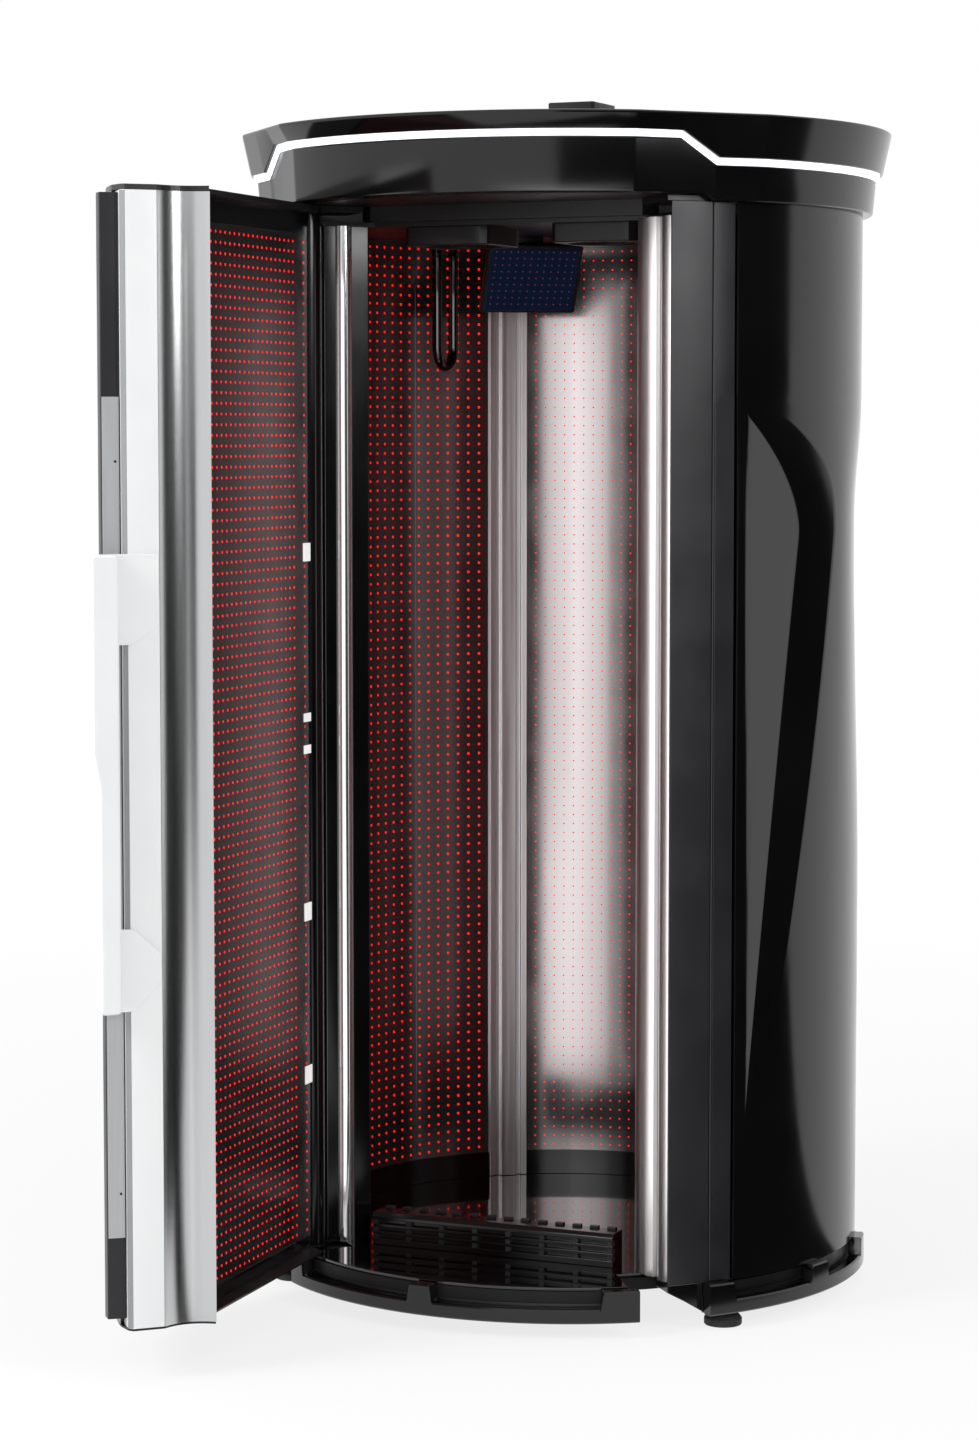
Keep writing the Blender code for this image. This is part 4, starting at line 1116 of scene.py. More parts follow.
    def shell(self, name: str, z: Array, angle: Array) -> bpy.types.Object:
        """Shell whose sections are, at each height, the outer line and the inner line run back.

        Args:
            name: object name.
            z: heights.
            angle: plan angles of the columns at each height.

        Returns:
            The shell.
        """
        near = np.where(angle > 180, 360 - angle, np.abs(angle))
        outer = self.radius(near, np.broadcast_to(z[:, None], near.shape))
        plan = np.concatenate([polar(outer, angle), polar(outer - self.skin, angle)[:, ::-1]], 1)
        level = np.broadcast_to(z[:, None, None], (*plan.shape[:2], 1))
        return loft(name, np.concatenate([plan, level], -1), sharp=50.0)

    def build(self) -> None:
        """Builds and dresses the two skins and the rear cover."""
        z = np.linspace(self.z_low, self.z_high, self.rows)
        side = self.columns(z)
        settle(self.shell("side_skin_right", z, side), Body.CABIN, GLOSS_ABS, "skin_right")
        settle(self.shell("side_skin_left", z, -side), Body.CABIN, GLOSS_ABS, "skin_left")
        rear = np.broadcast_to(np.linspace(150.09, 209.91, 70), (self.rows, 70))
        settle(self.shell("back_cover", z, rear), Body.CABIN, GLOSS_ABS, "rear_cover")
        self.fixings()
        self.louvres()

    def fixings(self) -> None:
        """Screw heads in two upright rows on the rear cover and one on each side skin."""
        rows, heights = (147.6, 152.5, 207.5, 212.4), np.linspace(0.16, 1.98, 8)
        turn, level = (grid.ravel() for grid in np.meshgrid(rows, heights))
        near = np.where(turn > 180, 360 - turn, turn)
        centres = np.c_[polar(self.body(near, level), turn), level]
        normals = np.c_[polar(1.0, turn), np.zeros(len(turn))]
        settle(domes("cover_screws", centres, normals, 0.0050, 0.0016), Body.CABIN, ANODISED)

    def louvres(self) -> None:
        """Air louvres on the rear cover: rows of slats laid along the cover, each tilted to shed dust."""
        slat = np.array((0.0101, 0.0035, 0.0012))
        level = np.concatenate([np.arange(12) * 0.016 + 1.74, np.arange(12) * 0.016 + 0.22])
        turn, z = (grid.ravel() for grid in np.meshgrid(np.arange(163.0, 198.0, 2.0), level))
        outward = np.c_[polar(1.0, turn), np.zeros(len(turn))]
        up = np.broadcast_to((0.0, 0.0, 1.0), outward.shape)
        lean = 0.8 * outward - 0.6 * up
        along = np.cross(up, outward)
        centres = np.c_[polar(self.body(np.where(turn > 180, 360 - turn, turn), z) + 0.0006, turn), z]
        axes = np.stack([along, lean, np.cross(along, lean)], 1)
        settle(blocks("rear_louvres", centres, slat, axes), Body.CABIN, SATIN_ABS)


@dataclass
class RoofCap:
    """Roof cap: two rings with flat front facets, the stepped light line between them, deck and box.

    Attributes:
        facet: first and last plan angle of a facet.
        kink: plan angles between which the light line steps down.
        head_from: plan angle at which the cap's underside begins to step down.
        line_h: height of the light line.
        line_front: height of the light line over the door.
        line_side: height of the light line round the sides.
        rim: radius of the top rim.
        ring: radius of the lower ring's upper edge.
        ring_in: inner radius of the lower ring.
        deck: radius of the roof deck.
        deck_z: underside and top of the roof deck.
        box_size: size of the roof box.
        box_at: plan point of the roof box.
    """

    facet: tuple[float, float] = (35.0, 59.0)
    kink: tuple[float, float] = (43.5, 50.5)
    head_from: float = 48.75
    line_h: float = 0.012
    line_front: float = 2.160
    line_side: float = 2.114
    rim: float = 0.620
    ring: float = 0.592
    ring_in: float = 0.5455
    deck: float = 0.580
    deck_z: tuple[float, float] = (2.172, 2.180)
    box_size: tuple[float, float, float] = (0.095, 0.110, 0.080)
    box_at: tuple[float, float] = (0.032, 0.0)

    def ringed(self, name: str, radius: Array, faceted: Array, height: Array) -> bpy.types.Object:
        """Ring whose section follows the cap's outline.

        Across a facet the radius is that of a chord: the radius times the cosine of half the facet,
        divided by the cosine of the angle from its middle.

        Args:
            name: object name.
            radius: radius of each point of the section.
            faceted: which points follow the facets.
            height: height of each point of the section at each angle.

        Returns:
            The ring.
        """
        near = self.near()[:, None]
        middle, half = sum(self.facet) / 2, (self.facet[1] - self.facet[0]) / 2
        chord = np.cos(radians(half)) / np.cos(np.radians(np.clip(near - middle, -half, half)))
        shape = np.where(np.abs(near - middle) < half, chord, 1.0)
        plan = polar(radius[None] * np.where(faceted[None], shape, 1.0), self.turns()[:, None])
        return loft(name, np.concatenate([plan, height[..., None]], -1), ring=True, sharp=24.0)

    def turns(self) -> Array:
        """Plan angles of the ring's sections, half a degree apart."""
        return np.arange(0.0, 360.0, 0.5)

    def near(self) -> Array:
        """Angle of each section from the front, 0 to 180."""
        return np.minimum(self.turns(), 360 - self.turns())

    def line(self) -> Array:
        """Height of the light line at each section: raised over the door, with a straight ramp."""
        share = np.clip((self.near() - self.kink[0]) / (self.kink[1] - self.kink[0]), 0, 1)
        return self.line_front + (self.line_side - self.line_front) * share

    def head(self) -> Array:
        """Height of the cap's underside at each section: raised over the door."""
        share = np.clip((self.near() - self.head_from) / (self.kink[1] - self.head_from), 0, 1)
        return PLAN.z_head + (PLAN.z_cap - PLAN.z_head) * share

    def build(self) -> None:
        """Builds and dresses the rings, the light line, the deck and what stands on it."""
        line, head = self.line(), self.head()
        half, top = self.line_h / 2, np.full(len(line), PLAN.z_rim)
        low = self.ring - 0.006
        radius = np.array([low - 0.004, low - 0.001, low, self.ring - 0.001, self.ring, self.ring - 0.002,
                           self.ring_in, self.ring_in])
        height = np.stack([head, head + 0.0018, head + 0.006, line - half - 0.003, line - half - 0.0012,
                           line - half, line - half, head], -1)
        settle(self.ringed("cap_ring_low", radius, radius > self.ring_in, height),
               Body.CABIN, GLOSS_ABS, "cap_lower_ring")
        radius = np.array([self.ring + 0.006, self.ring + 0.006, self.deck - 0.012, self.deck - 0.012])
        under, over = line - half + 0.0008, line + half - 0.0008
        settle(self.ringed("cap_light_guide", radius, radius > 0, np.stack([under, over, over, under], -1)),
               Body.CABIN, OPAL, "cap_light_strip")
        rim_low = self.rim - 0.016
        radius = np.array([rim_low - 0.002, rim_low, self.rim - 0.0004, self.rim, self.rim - 0.001,
                           self.rim - 0.003, self.deck, self.deck])
        height = np.stack([line + half, line + half + 0.0015, top - 0.006, top - 0.003, top - 0.0008,
                           top, top, line + half], -1)
        settle(self.ringed("cap_ring_high", radius, radius > self.deck, height),
               Body.CABIN, GLOSS_ABS, "cap_upper_ring")
        deck = loft("deck_sheet", stacked(arc(self.deck - 0.0008, 0.0, 359.0), self.deck_z))
        settle(soften(deck, 0.001), Body.CABIN, SATIN_ABS, "roof_deck")
        self.roof_fixings()
        self.supply_box()

    def roof_fixings(self) -> None:
        """Screws round the roof deck and slats of two air outlets above the fans."""
        top = self.deck_z[1]
        turn = np.radians(np.arange(16) * 22.5 + 11.25)
        radius, edge = np.array((0.0045, 0.0045, 0.0030, 0.0008)), np.array((-0.0002, 0.0010, 0.0018, 0.0019))
        for k, (x, y) in enumerate(np.stack([np.cos(turn), np.sin(turn)], -1) * (self.deck - 0.018)):
            screw = loft(f"deck_screw_{k}", spun(np.stack([radius, top + edge], -1), (x, y), 12))
            settle(screw, Body.CABIN, ANODISED)
        x, y = (grid.ravel() for grid in np.meshgrid((-0.15, 0.15), -0.15 + np.linspace(-0.065, 0.065, 11)))
        half = np.stack([np.sqrt(0.074 ** 2 - (y + 0.15) ** 2), np.full(22, 0.0038), np.full(22, 0.0016)], -1)
        tilt = np.array([(1.0, 0, 0), (0, 0.94, 0.34), (0, -0.34, 0.94)])
        settle(blocks("roof_outlets", np.stack([x, y, np.full(22, top + 0.0014)], -1), half,
                      np.broadcast_to(tilt, (22, 3, 3))), Body.CABIN, ANODISED)

    def supply_box(self) -> None:
        """Roof box with rounded upright corners, and its cable gland turned about Y."""
        low = self.deck_z[1] + PLAN.fit
        half = np.array(self.box_size[:2]) / 2
        corners = np.array([(-1, -1), (1, -1), (1, 1), (-1, 1)]) * half + self.box_at
        box = loft("supply_box", stacked(rounded(corners, 0.006, 7), (low, low + self.box_size[2])))
        settle(soften(box, 0.003, 3, 60.0), Body.CABIN, ANODISED, "roof_box")
        profile = np.array([(0.0045, 0.021), (0.005, 0.026), (0.007, 0.026), (0.0078, 0.024), (0.009, 0.020),
                            (0.013, 0.0165), (0.013, 0.004), (0.016, 0.004), (0.016, 0.0)])
        upright = spun(profile, (0.0, 0.0))
        behind = self.box_at[1] + half[1] + PLAN.fit
        gland = np.stack([upright[..., 0] + self.box_at[0], upright[..., 2] + behind,
                          low + 0.040 - upright[..., 1]], -1)
        settle(loft("supply_gland", gland), Body.CABIN, RUBBER, "cable_gland")


@dataclass
class CeilingFittings:
    """Ceiling, lintel, fans with guards and hanging grab handles.

    Attributes:
        fan_at: distance of a fan from the middle, along X and towards the front.
        fan_side: side of a fan frame.
        fan_hole: radius of its hole.
        fan_drop: depth of its frame.
        grab_at: plan point of the right grab handle.
        grab_low: underside of a grab handle.
        grab_half: half the width of a grab handle, to the middle of its bar.
        grab_bar: radius of its bar.
    """

    fan_at: float = 0.150
    fan_side: float = 0.170
    fan_hole: float = 0.074
    fan_drop: float = 0.034
    grab_at: tuple[float, float] = (0.270, 0.030)
    grab_low: float = 1.753
    grab_half: float = 0.0375
    grab_bar: float = 0.010

    def build(self) -> None:
        """Builds and dresses the fittings on both sides."""
        dress(SATIN_ABS, "ceiling_panel", "front_lintel")
        for side in Side:
            self.fan(side)
            self.rotor(side)
            self.grab(side)

    def fan(self, side: Side) -> None:
        """Fan frame: a square with a round hole, joined point to point at the same angles, and its guard.

        The square's distance at an angle is half its side over the larger of the cosine and the sine.

        Args:
            side: side of the cabin.
        """
        turn = np.linspace(0, 2 * np.pi, 96, endpoint=False) + np.pi / 4
        ray = np.stack([np.cos(turn), np.sin(turn)], -1)
        square = ray * np.minimum(self.fan_side / 2 / np.abs(ray).max(1), self.fan_side * 0.655)[:, None]
        centre = np.array((side.value * self.fan_at, -self.fan_at))
        high = PLAN.z_ceiling - PLAN.fit
        low = high - self.fan_drop
        hole = ray * self.fan_hole
        loops = [(square, low + 0.002), (square, high), (hole, high), (hole, low + 0.003),
                 (ray * (self.fan_hole + 0.003), low), (square * 0.976, low)]
        sections = np.stack([np.c_[centre + plan, np.full(96, z)] for plan, z in loops])
        name = side.name.lower()
        settle(loft("fan_bezel_" + name, sections, ring=True), Body.CABIN, GRAPHITE_PAINT,
               "fan_frame_" + name)
        for k, radius in enumerate((0.024, 0.041, 0.058, 0.0735)):
            path = np.stack([centre[0] + radius * np.cos(turn), centre[1] + radius * np.sin(turn),
                             np.full(96, low + 0.0045)], -1)
            tube = np.linspace(0, 2 * np.pi, 8, endpoint=False)
            out = np.c_[ray, np.zeros(96)][:, None]
            ring = path[:, None] + 0.0014 * (np.cos(tube)[None, :, None] * out
                                             + np.sin(tube)[None, :, None] * np.array((0, 0, 1.0)))
            settle(loft(f"fan_guard_{name}_{k}", ring, ring=True), Body.CABIN, ANODISED)
        spoke = np.radians(np.arange(6) * 60.0 + 15)
        out = np.stack([np.cos(spoke), np.sin(spoke), np.zeros(6)], -1)
        up = np.broadcast_to((0.0, 0.0, 1.0), (6, 3))
        middle = np.array((*centre, low + 0.0058)) + out * 0.049
        settle(blocks("fan_spokes_" + name, middle, np.array((0.0255, 0.0013, 0.0009)),
                      np.stack([out, np.cross(up, out), up], 1)), Body.CABIN, ANODISED)

    def rotor(self, side: Side) -> None:
        """Fan rotor: a domed hub and seven blades, each a thin loop carried outwards while it twists.

        A blade's chord runs from 18 to 24 mm and its pitch falls from 32 to 18 degrees.

        Args:
            side: side of the cabin.
        """
        centre = (side.value * self.fan_at, -self.fan_at)
        body = Body.LEFT_ROTOR if side is Side.LEFT else Body.RIGHT_ROTOR
        name = side.name.lower()
        hub = np.array([(0.004, -0.026), (0.014, -0.0255), (0.019, -0.0235), (0.0225, -0.019),
                        (0.0225, -0.0004)])
        hub[:, 1] += PLAN.z_ceiling
        settle(loft("fan_hub_" + name, spun(hub, centre)), body, SATIN_ABS, "fan_rotor_" + name)
        share = np.linspace(0, 1, 9)[:, None]
        loop = np.linspace(0, 2 * np.pi, 14, endpoint=False)[None, :]
        chord, pitch = (0.009 + 0.003 * share), np.radians(32 - 14 * share)
        along, thick = chord * np.cos(loop), 0.0011 * np.sin(loop)
        reach = np.broadcast_to(0.0215 + 0.0460 * share, along.shape)
        across = along * np.cos(pitch) - thick * np.sin(pitch)
        level = PLAN.z_ceiling - 0.015 + along * np.sin(pitch) + thick * np.cos(pitch)
        for k, turn in enumerate(np.radians(np.arange(7) * 360 / 7)):
            x = centre[0] + reach * cos(turn) - across * sin(turn)
            y = centre[1] + reach * sin(turn) + across * cos(turn)
            settle(loft(f"fan_blade_{name}_{k}", np.stack([x, y, level], -1)), body, SATIN_ABS)

    def grab(self, side: Side) -> None:
        """Grab handle: a round bar along two straight legs and a half circle, with a flange at each leg.

        Args:
            side: side of the cabin.
        """
        x, y = side.value * self.grab_at[0], self.grab_at[1]
        top, bend = PLAN.z_ceiling - PLAN.fit, self.grab_low + self.grab_bar + self.grab_half
        turn = np.linspace(0, np.pi, 33)
        leg = np.linspace(top, bend + 0.002, 6)
        level = np.concatenate([leg, bend - self.grab_half * np.sin(turn), leg[::-1]])
        across = np.concatenate([np.full(6, -1.0), -np.cos(turn), np.full(6, 1.0)]) * self.grab_half
        path = np.stack([np.full(len(level), x), y + across, level], -1)
        name = side.name.lower()
        settle(loft("grab_bar_" + name, swept(path, self.grab_bar, 24)), Body.CABIN, MIRROR_BLACK,
               "grab_handle_" + name)
        profile = np.array([(0.0102, -0.010), (0.013, -0.009), (0.0165, -0.003), (0.0165, -0.0002)])
        profile[:, 1] += top
        for end, offset in (("front", -self.grab_half), ("rear", self.grab_half)):
            settle(loft(f"grab_flange_{name}_{end}", spun(profile, (x, y + offset))), Body.CABIN, SATIN_ABS)


@dataclass
class ScreenUnit:
    """Tilting display under the ceiling: bracket, housing, bezel and glass.

    Attributes:
        pivot: middle of the tilt axis.
        tilt: tilt at rest in degrees.
        turn: direction that it faces in degrees.
        size: width, depth and height of the housing.
        barrel: radius of the bracket's barrel.
        drop: how far the housing's top stands over the pivot.
    """

    pivot: tuple[float, float, float] = (-0.1585, 0.2036, 1.998)
    tilt: float = 30.0
    turn: float = 38.0
    size: tuple[float, float, float] = (0.195, 0.016, 0.150)
    barrel: float = 0.008
    drop: float = 0.020

    def placed(self, local: Array, tilt: float) -> Array:
        """Turns points by the tilt about X, then by the facing about Z, and sets them at the pivot.

        Args:
            local: points in the display's own axes.
            tilt: tilt in degrees.

        Returns:
            The points in the cabin's frame.
        """
        a, b = radians(tilt), radians(self.turn)
        lean = np.array([(1, 0, 0), (0, cos(a), -sin(a)), (0, sin(a), cos(a))])
        face = np.array([(cos(b), -sin(b), 0), (sin(b), cos(b), 0), (0, 0, 1)])
        return local @ (face @ lean).T + self.pivot

    def plate(self, wide: float, tall: float, corner: float, depths: tuple[float, ...],
              inset: Array) -> Array:
        """Sections of a rounded plate in the display's own axes, each inset by a given width.

        Args:
            wide: width.
            tall: height.
            corner: rounding of the corners.
            depths: place of each section along the depth.
            inset: how far each section stands in from the outline.

        Returns:
            One loop for each depth.
        """
        middle = self.drop - self.size[2] / 2
        signs = np.array([(-1, -1), (1, -1), (1, 1), (-1, 1)])
        flat = np.stack([rounded(signs * (wide / 2 - d, tall / 2 - d), corner, 7) for d in inset])
        depth = np.broadcast_to(np.array(depths)[:, None], flat.shape[:2])
        return np.stack([flat[..., 0], depth, flat[..., 1] + middle], -1)

    def build(self) -> None:
        """Builds and dresses the bracket, the housing and the glass."""
        back, front = -self.barrel - PLAN.fit, -self.barrel - PLAN.fit - self.size[1]
        body = self.plate(self.size[0], self.size[2], 0.006, (back, back - 0.003, front + 0.002, front),
                          np.array((0.003, 0.0, 0.0, 0.002)))
        settle(loft("display_housing", self.placed(body, self.tilt)), Body.SCREEN, SATIN_ABS,
               "screen_housing")
        glass = self.plate(self.size[0] - 0.014, self.size[2] - 0.014, 0.003,
                           (front - 0.0003, front - 0.0016, front - 0.0023), np.array((0.0, 0.0, 0.0007)))
        piece = loft("display_glass", self.placed(glass, self.tilt))
        flat = glass.reshape(-1, 3)[:, [0, 2]]
        spots = np.zeros(len(piece.data.loops), int)
        piece.data.loops.foreach_get("vertex_index", spots)
        piece.data.uv_layers.new(name="flat").data.foreach_set("uv", flat[spots].ravel())
        settle(piece, Body.SCREEN, DISPLAY, "screen_glass")
        round_bar = spun(np.array([(self.barrel - 0.001, -0.035), (self.barrel, -0.034), (self.barrel, 0.034),
                                   (self.barrel - 0.001, 0.035)]), (0.0, 0.0), 32)
        settle(loft("tilt_barrel", self.placed(round_bar[..., [2, 0, 1]], 0.0)), Body.CABIN, ANODISED,
               "screen_bracket")
        top = PLAN.z_ceiling - PLAN.fit - self.pivot[2]
        corners = np.array([(-0.020, -0.005), (0.020, -0.005), (0.020, 0.005), (-0.020, 0.005)])
        stem = stacked(rounded(corners, 0.002), (0.0, top))
        settle(loft("tilt_stem", self.placed(stem, 0.0)), Body.CABIN, ANODISED)


@dataclass
class Door:
    """Thick hinged door, worked out shut and then swung open about its hinge.

    Attributes:
        edge: plan angle of the free end face when shut.
        leaf_y: inner face when shut.
        leaf_x: left and right end of the inner face when shut.
        leaf: thickness of the light panel.
        lens: radius of a lens.
        rail: how far the end profile stands in from the inner face.
        shell: thickness of the outer shell.
        shell_span: plan angles of the outer shell.
        face: outer radius of the white end face.
        cove_from: radius at which the polished cove meets the white end face.
        cove: depth of the cove.
        trim: outer radius of the dark trim.
        insert: lowest and highest point of the silver insert.
        grip: lowest and highest point of the grip.
        slot: lowest and highest point of the finger slot.
        grip_u: inner and outer radius of the grip.
        step: how far the grip's lower part is set back, and the lowest and highest point of the slope there.
        plate: thickness of the handle's plate.
        grip_t: thickness of the grip.
        row: height between two rows of lenses.
        column: width between two columns of lenses.
    """

    edge: float = 40.7
    leaf_y: float = -0.373
    leaf_x: tuple[float, float] = (-0.3225, 0.246)
    leaf: float = 0.004
    lens: float = 0.0029
    rail: float = 0.033
    shell: float = 0.006
    shell_span: tuple[float, float] = (-40.8, 36.5)
    face: float = 0.554
    cove_from: float = 0.4975
    cove: float = 0.016
    trim: float = 0.5935
    insert: tuple[float, float] = (0.253, 1.694)
    grip: tuple[float, float] = (0.648, 1.429)
    slot: tuple[float, float] = (0.790, 1.275)
    grip_u: tuple[float, float] = (0.578, 0.626)
    step: tuple[float, float, float] = (0.011, 1.035, 1.095)
    plate: float = 0.0067
    grip_t: float = 0.034
    row: float = 0.0187
    column: float = 0.0205

    def swung(self, points: Array) -> Array:
        """Turns points of the shut door about the hinge to its open place.

        Args:
            points: places with the door shut.

        Returns:
            The same points with the door open.
        """
        a = radians(-PLAN.door_open)
        turn = np.array([(cos(a), sin(a), 0), (-sin(a), cos(a), 0), (0, 0, 1)])
        hinge = np.array((PLAN.hinge_x, PLAN.hinge_y, 0.0))
        return (points - hinge) @ turn + hinge

    def upright(self, name: str, outline: Array, low: float, high: float) -> bpy.types.Object:
        """Extrudes a plan outline of the shut door and swings it open."""
        return loft(name, self.swung(stacked(outline, (low, high))))

    def on_end(self, flat: Array, out: Array) -> Array:
        """Sections that stand on the end face: radius and height in it, and a distance out of it.

        Args:
            flat: radius and height of each point of an outline.
            out: distance of each section from the end face.

        Returns:
            One loop for each distance, swung open.
        """
        turn = radians(self.edge)
        u, z = np.broadcast_arrays(flat[None, :, 0], flat[None, :, 1])
        out = out[:, None]
        x, y = u * sin(turn) + out * cos(turn), -u * cos(turn) + out * sin(turn)
        return self.swung(np.stack(np.broadcast_arrays(x, y, z), -1))

    def build(self) -> None:
        """Builds and dresses every piece of the door."""
        low, high, back = PLAN.z_door, PLAN.door_top, PLAN.body - self.shell - PLAN.fit
        outline = sector(PLAN.body - self.shell, PLAN.body, *self.shell_span)
        settle(soften(self.upright("door_skin", outline, low, high), 0.001, limit=60.0),
               Body.DOOR, GLOSS_ABS, "door_shell")
        left, right = self.leaf_x
        inner, outer = self.leaf_y, self.leaf_y - self.leaf
        leaf = np.array([(left, outer), (right, outer), (right, inner), (left, inner)])
        settle(self.upright("door_light_sheet", leaf, low, high), Body.DOOR, DOOR_ACRYLIC, "door_led_panel")
        self.lenses()
        behind = self.shell_span[1] + 0.05
        face = polar(np.array([self.cove_from + PLAN.fit, self.cove_from + PLAN.fit, back, back, self.face]),
                     np.array([self.edge, behind, behind, self.edge - 0.9, self.edge]))
        settle(soften(self.upright("door_end_face", rounded(face, 0.0015), low, high), 0.001, limit=60.0),
               Body.DOOR, WHITE_COAT, "door_edge")
        hollow = swelled(polar(self.cove_from, self.edge), polar(PLAN.reveal, self.edge), -self.cove, 64)
        beside = right + PLAN.fit
        sides = np.array([(beside, self.leaf_y + self.rail), (beside, self.leaf_y - 0.0173)])
        cove = np.concatenate([hollow, sides, polar(self.cove_from, behind)[None]])
        settle(self.upright("door_cove_profile", cove, low, high), Body.DOOR, BLASTED_ALU, "door_cove")
        self.stile(back)
        self.edging(back)
        self.inner_trim()
        self.handle()
        dress(SATIN_ABS, "door_cap_top", "door_cap_bottom")
        dress(BOARD, "door_led_board")
        dress(ANODISED, "pivot_bottom", "pivot_top")

    def lenses(self) -> None:
        """Lenses on an even grid over the inner face, with one more column beside the hinge."""
        left, right = self.leaf_x
        across = np.r_[left + 0.016, np.arange(left + 0.066, right - 0.010, self.column)]
        height = np.arange(0.133, 1.995, self.row)
        x, z = (grid.ravel() for grid in np.meshgrid(across, height))
        shut = np.stack([x, np.full(len(x), self.leaf_y), z], -1)
        ahead = self.swung(np.array([(0, 0, 0), (0, 1.0, 0)]))
        normals = np.broadcast_to(ahead[1] - ahead[0], shut.shape)
        settle(domes("door_lenses", self.swung(shut), normals, self.lens, 0.0007), Body.DOOR, RED_LENS)

    def stile(self, back: float) -> None:
        """Hinge stile: a round nose about the hinge and straight sides, with the pin's bore through it.

        Outer and inner loops share their directions from the hinge axis, so quads join them at both ends.

        Args:
            back: inner radius of the outer shell.
        """
        turn = np.radians(np.linspace(33, 250, 60))
        hinge = np.array((PLAN.hinge_x, PLAN.hinge_y))
        nose = hinge + 0.030 * np.stack([np.cos(turn), np.sin(turn)], -1)
        left = self.leaf_x[0] - PLAN.fit
        corner = polar(-self.leaf_y / cos(radians(41.6)), -41.6)
        outline = np.concatenate([nose, polar(back, self.shell_span[0] - 0.05)[None],
                                  [(left, self.leaf_y - 0.032), (left, self.leaf_y)], corner[None]])
        ray = outline - hinge
        bore = hinge + 0.0065 * ray / np.linalg.norm(ray, axis=1, keepdims=True)
        low, high = PLAN.z_door, PLAN.door_top
        loops = np.concatenate([stacked(outline, (low, high)), stacked(bore, (high, low))])
        settle(loft("door_hinge_nose", self.swung(loops), ring=True), Body.DOOR, GLOSS_ABS,
               "door_hinge_stile")

    def edging(self, back: float) -> None:
        """Dark trim along the free edge, its silver insert, the insert's screws and a strip of painted shade
        beside it.

        Args:
            back: inner radius of the outer shell.
        """
        end = self.edge - 1.8
        near = polar(np.array([back + PLAN.fit, back + PLAN.fit, self.trim, self.trim, PLAN.body + 0.018]),
                     np.array([self.shell_span[1] + 0.3, end, end - 0.2, end - 2.6, 33.4]))
        under = arc(PLAN.body + 0.0008, 32.0, self.shell_span[1] + 0.1)
        outline = np.concatenate([under, rounded(near, 0.0025)[3:]])
        trim = self.upright("door_edge_trim", outline, PLAN.z_door + 0.016, PLAN.door_top - 0.004)
        settle(soften(trim, 0.0015, limit=60.0), Body.DOOR, GRAPHITE_PAINT, "door_trim")
        near, far = back + 0.0022, self.trim - 0.0016
        strip = polar(np.array([near, near, far, far]), end + np.array([0.03, 0.23, 0.02, -0.15]))
        settle(soften(self.upright("door_silver_strip", strip, *self.insert), 0.0005),
               Body.DOOR, SILVER_STRIP, "trim_insert")
        screws = np.c_[polar(np.full(2, near + 0.007), end + 0.22), (1.585, 0.33)]
        ahead = self.swung(np.array([(0, 0, 0), (*polar(1.0, end + 90.0), 0)]))
        facing = np.broadcast_to(ahead[1] - ahead[0], (2, 3))
        settle(domes("insert_screws", self.swung(screws), facing, 0.0024, 0.0006), Body.DOOR, ANODISED)
        # The bead's flat grey is painted shade where the white end face turns towards the trim.
        slope = polar(np.array([self.face - 0.0004, self.face + 0.0007, back + 0.0007, back - 0.0004]),
                      self.edge - np.array([0.02, 0.02, 0.88, 0.88]))
        bead = self.upright("end_face_bead", slope, PLAN.z_door + 0.001, PLAN.door_top - 0.001)
        settle(soften(bead, 0.0002), Body.DOOR, SHADE_STRIP)

    def inner_trim(self) -> None:
        """Gloss band above the lenses, a rail below them, and five nylon plates beside the hinge that glow with
        painted light.
        """
        left, right = self.leaf_x
        for name, low, high in (("door_head_band", 1.9985, PLAN.door_top - 0.001),
                                ("door_foot_rail", 0.0965, 0.121)):
            band = np.array([(left + 0.002, self.leaf_y - 0.0002), (right - 0.002, self.leaf_y - 0.0002),
                             (right - 0.002, self.leaf_y + 0.0012), (left + 0.002, self.leaf_y + 0.0012)])
            settle(soften(self.upright(name, band, low, high), 0.0003), Body.DOOR, GLOSS_ABS)
        half = np.array((0.017, 0.008, 0.008, 0.017, 0.017))
        level = np.array((1.412, 1.103, 1.043, 0.737, 0.428))
        shut = np.c_[np.full(5, left + 0.0065), np.full(5, self.leaf_y + 0.0006), level]
        axes = self.swung(np.eye(3)) - self.swung(np.zeros((1, 3)))
        plates = blocks("hinge_plates", self.swung(shut), np.c_[np.full(5, 0.0165), np.full(5, 0.0009), half],
                        np.broadcast_to(axes, (5, 3, 3)))
        # The plates' glow is painted light: they are no lamp.
        settle(soften(plates, 0.0005), Body.DOOR, WHITE_NYLON_PAINTED_GLOW)

    def handle(self) -> None:
        """Handle: a plate with slanted shoulders on the end face, and a stepped grip beyond a finger slot."""
        (near, far), (low, high), (under, over) = self.grip_u, self.grip, self.slot
        inner = self.cove_from + 0.004
        shoulder = self.face - 0.004
        plate = np.array([(near, under), (near, over), (shoulder, over), (inner, over + 0.031), (inner, high),
                          (far - 0.012, high), (far - 0.012, low), (shoulder, low), (inner, low + 0.050),
                          (inner, under - 0.044),
                          (shoulder, under)])
        out = PLAN.fit + np.array((0.0, self.plate))
        flat = loft("handle_plate", self.on_end(rounded(plate, 0.007), out))
        settle(soften(flat, 0.0016, 3, 50.0), Body.DOOR, WHITE_COAT, "handle")
        back, foot, top = self.step
        bar = np.array([(near, low), (far - back, low), (far - back, foot), (far, top), (far, high),
                        (near, high)])
        out = PLAN.fit + np.array((0.0, self.grip_t))
        grip = loft("handle_grip", self.on_end(rounded(bar, 0.009), out))
        settle(soften(grip, 0.005, 4, 50.0), Body.DOOR, WHITE_COAT)


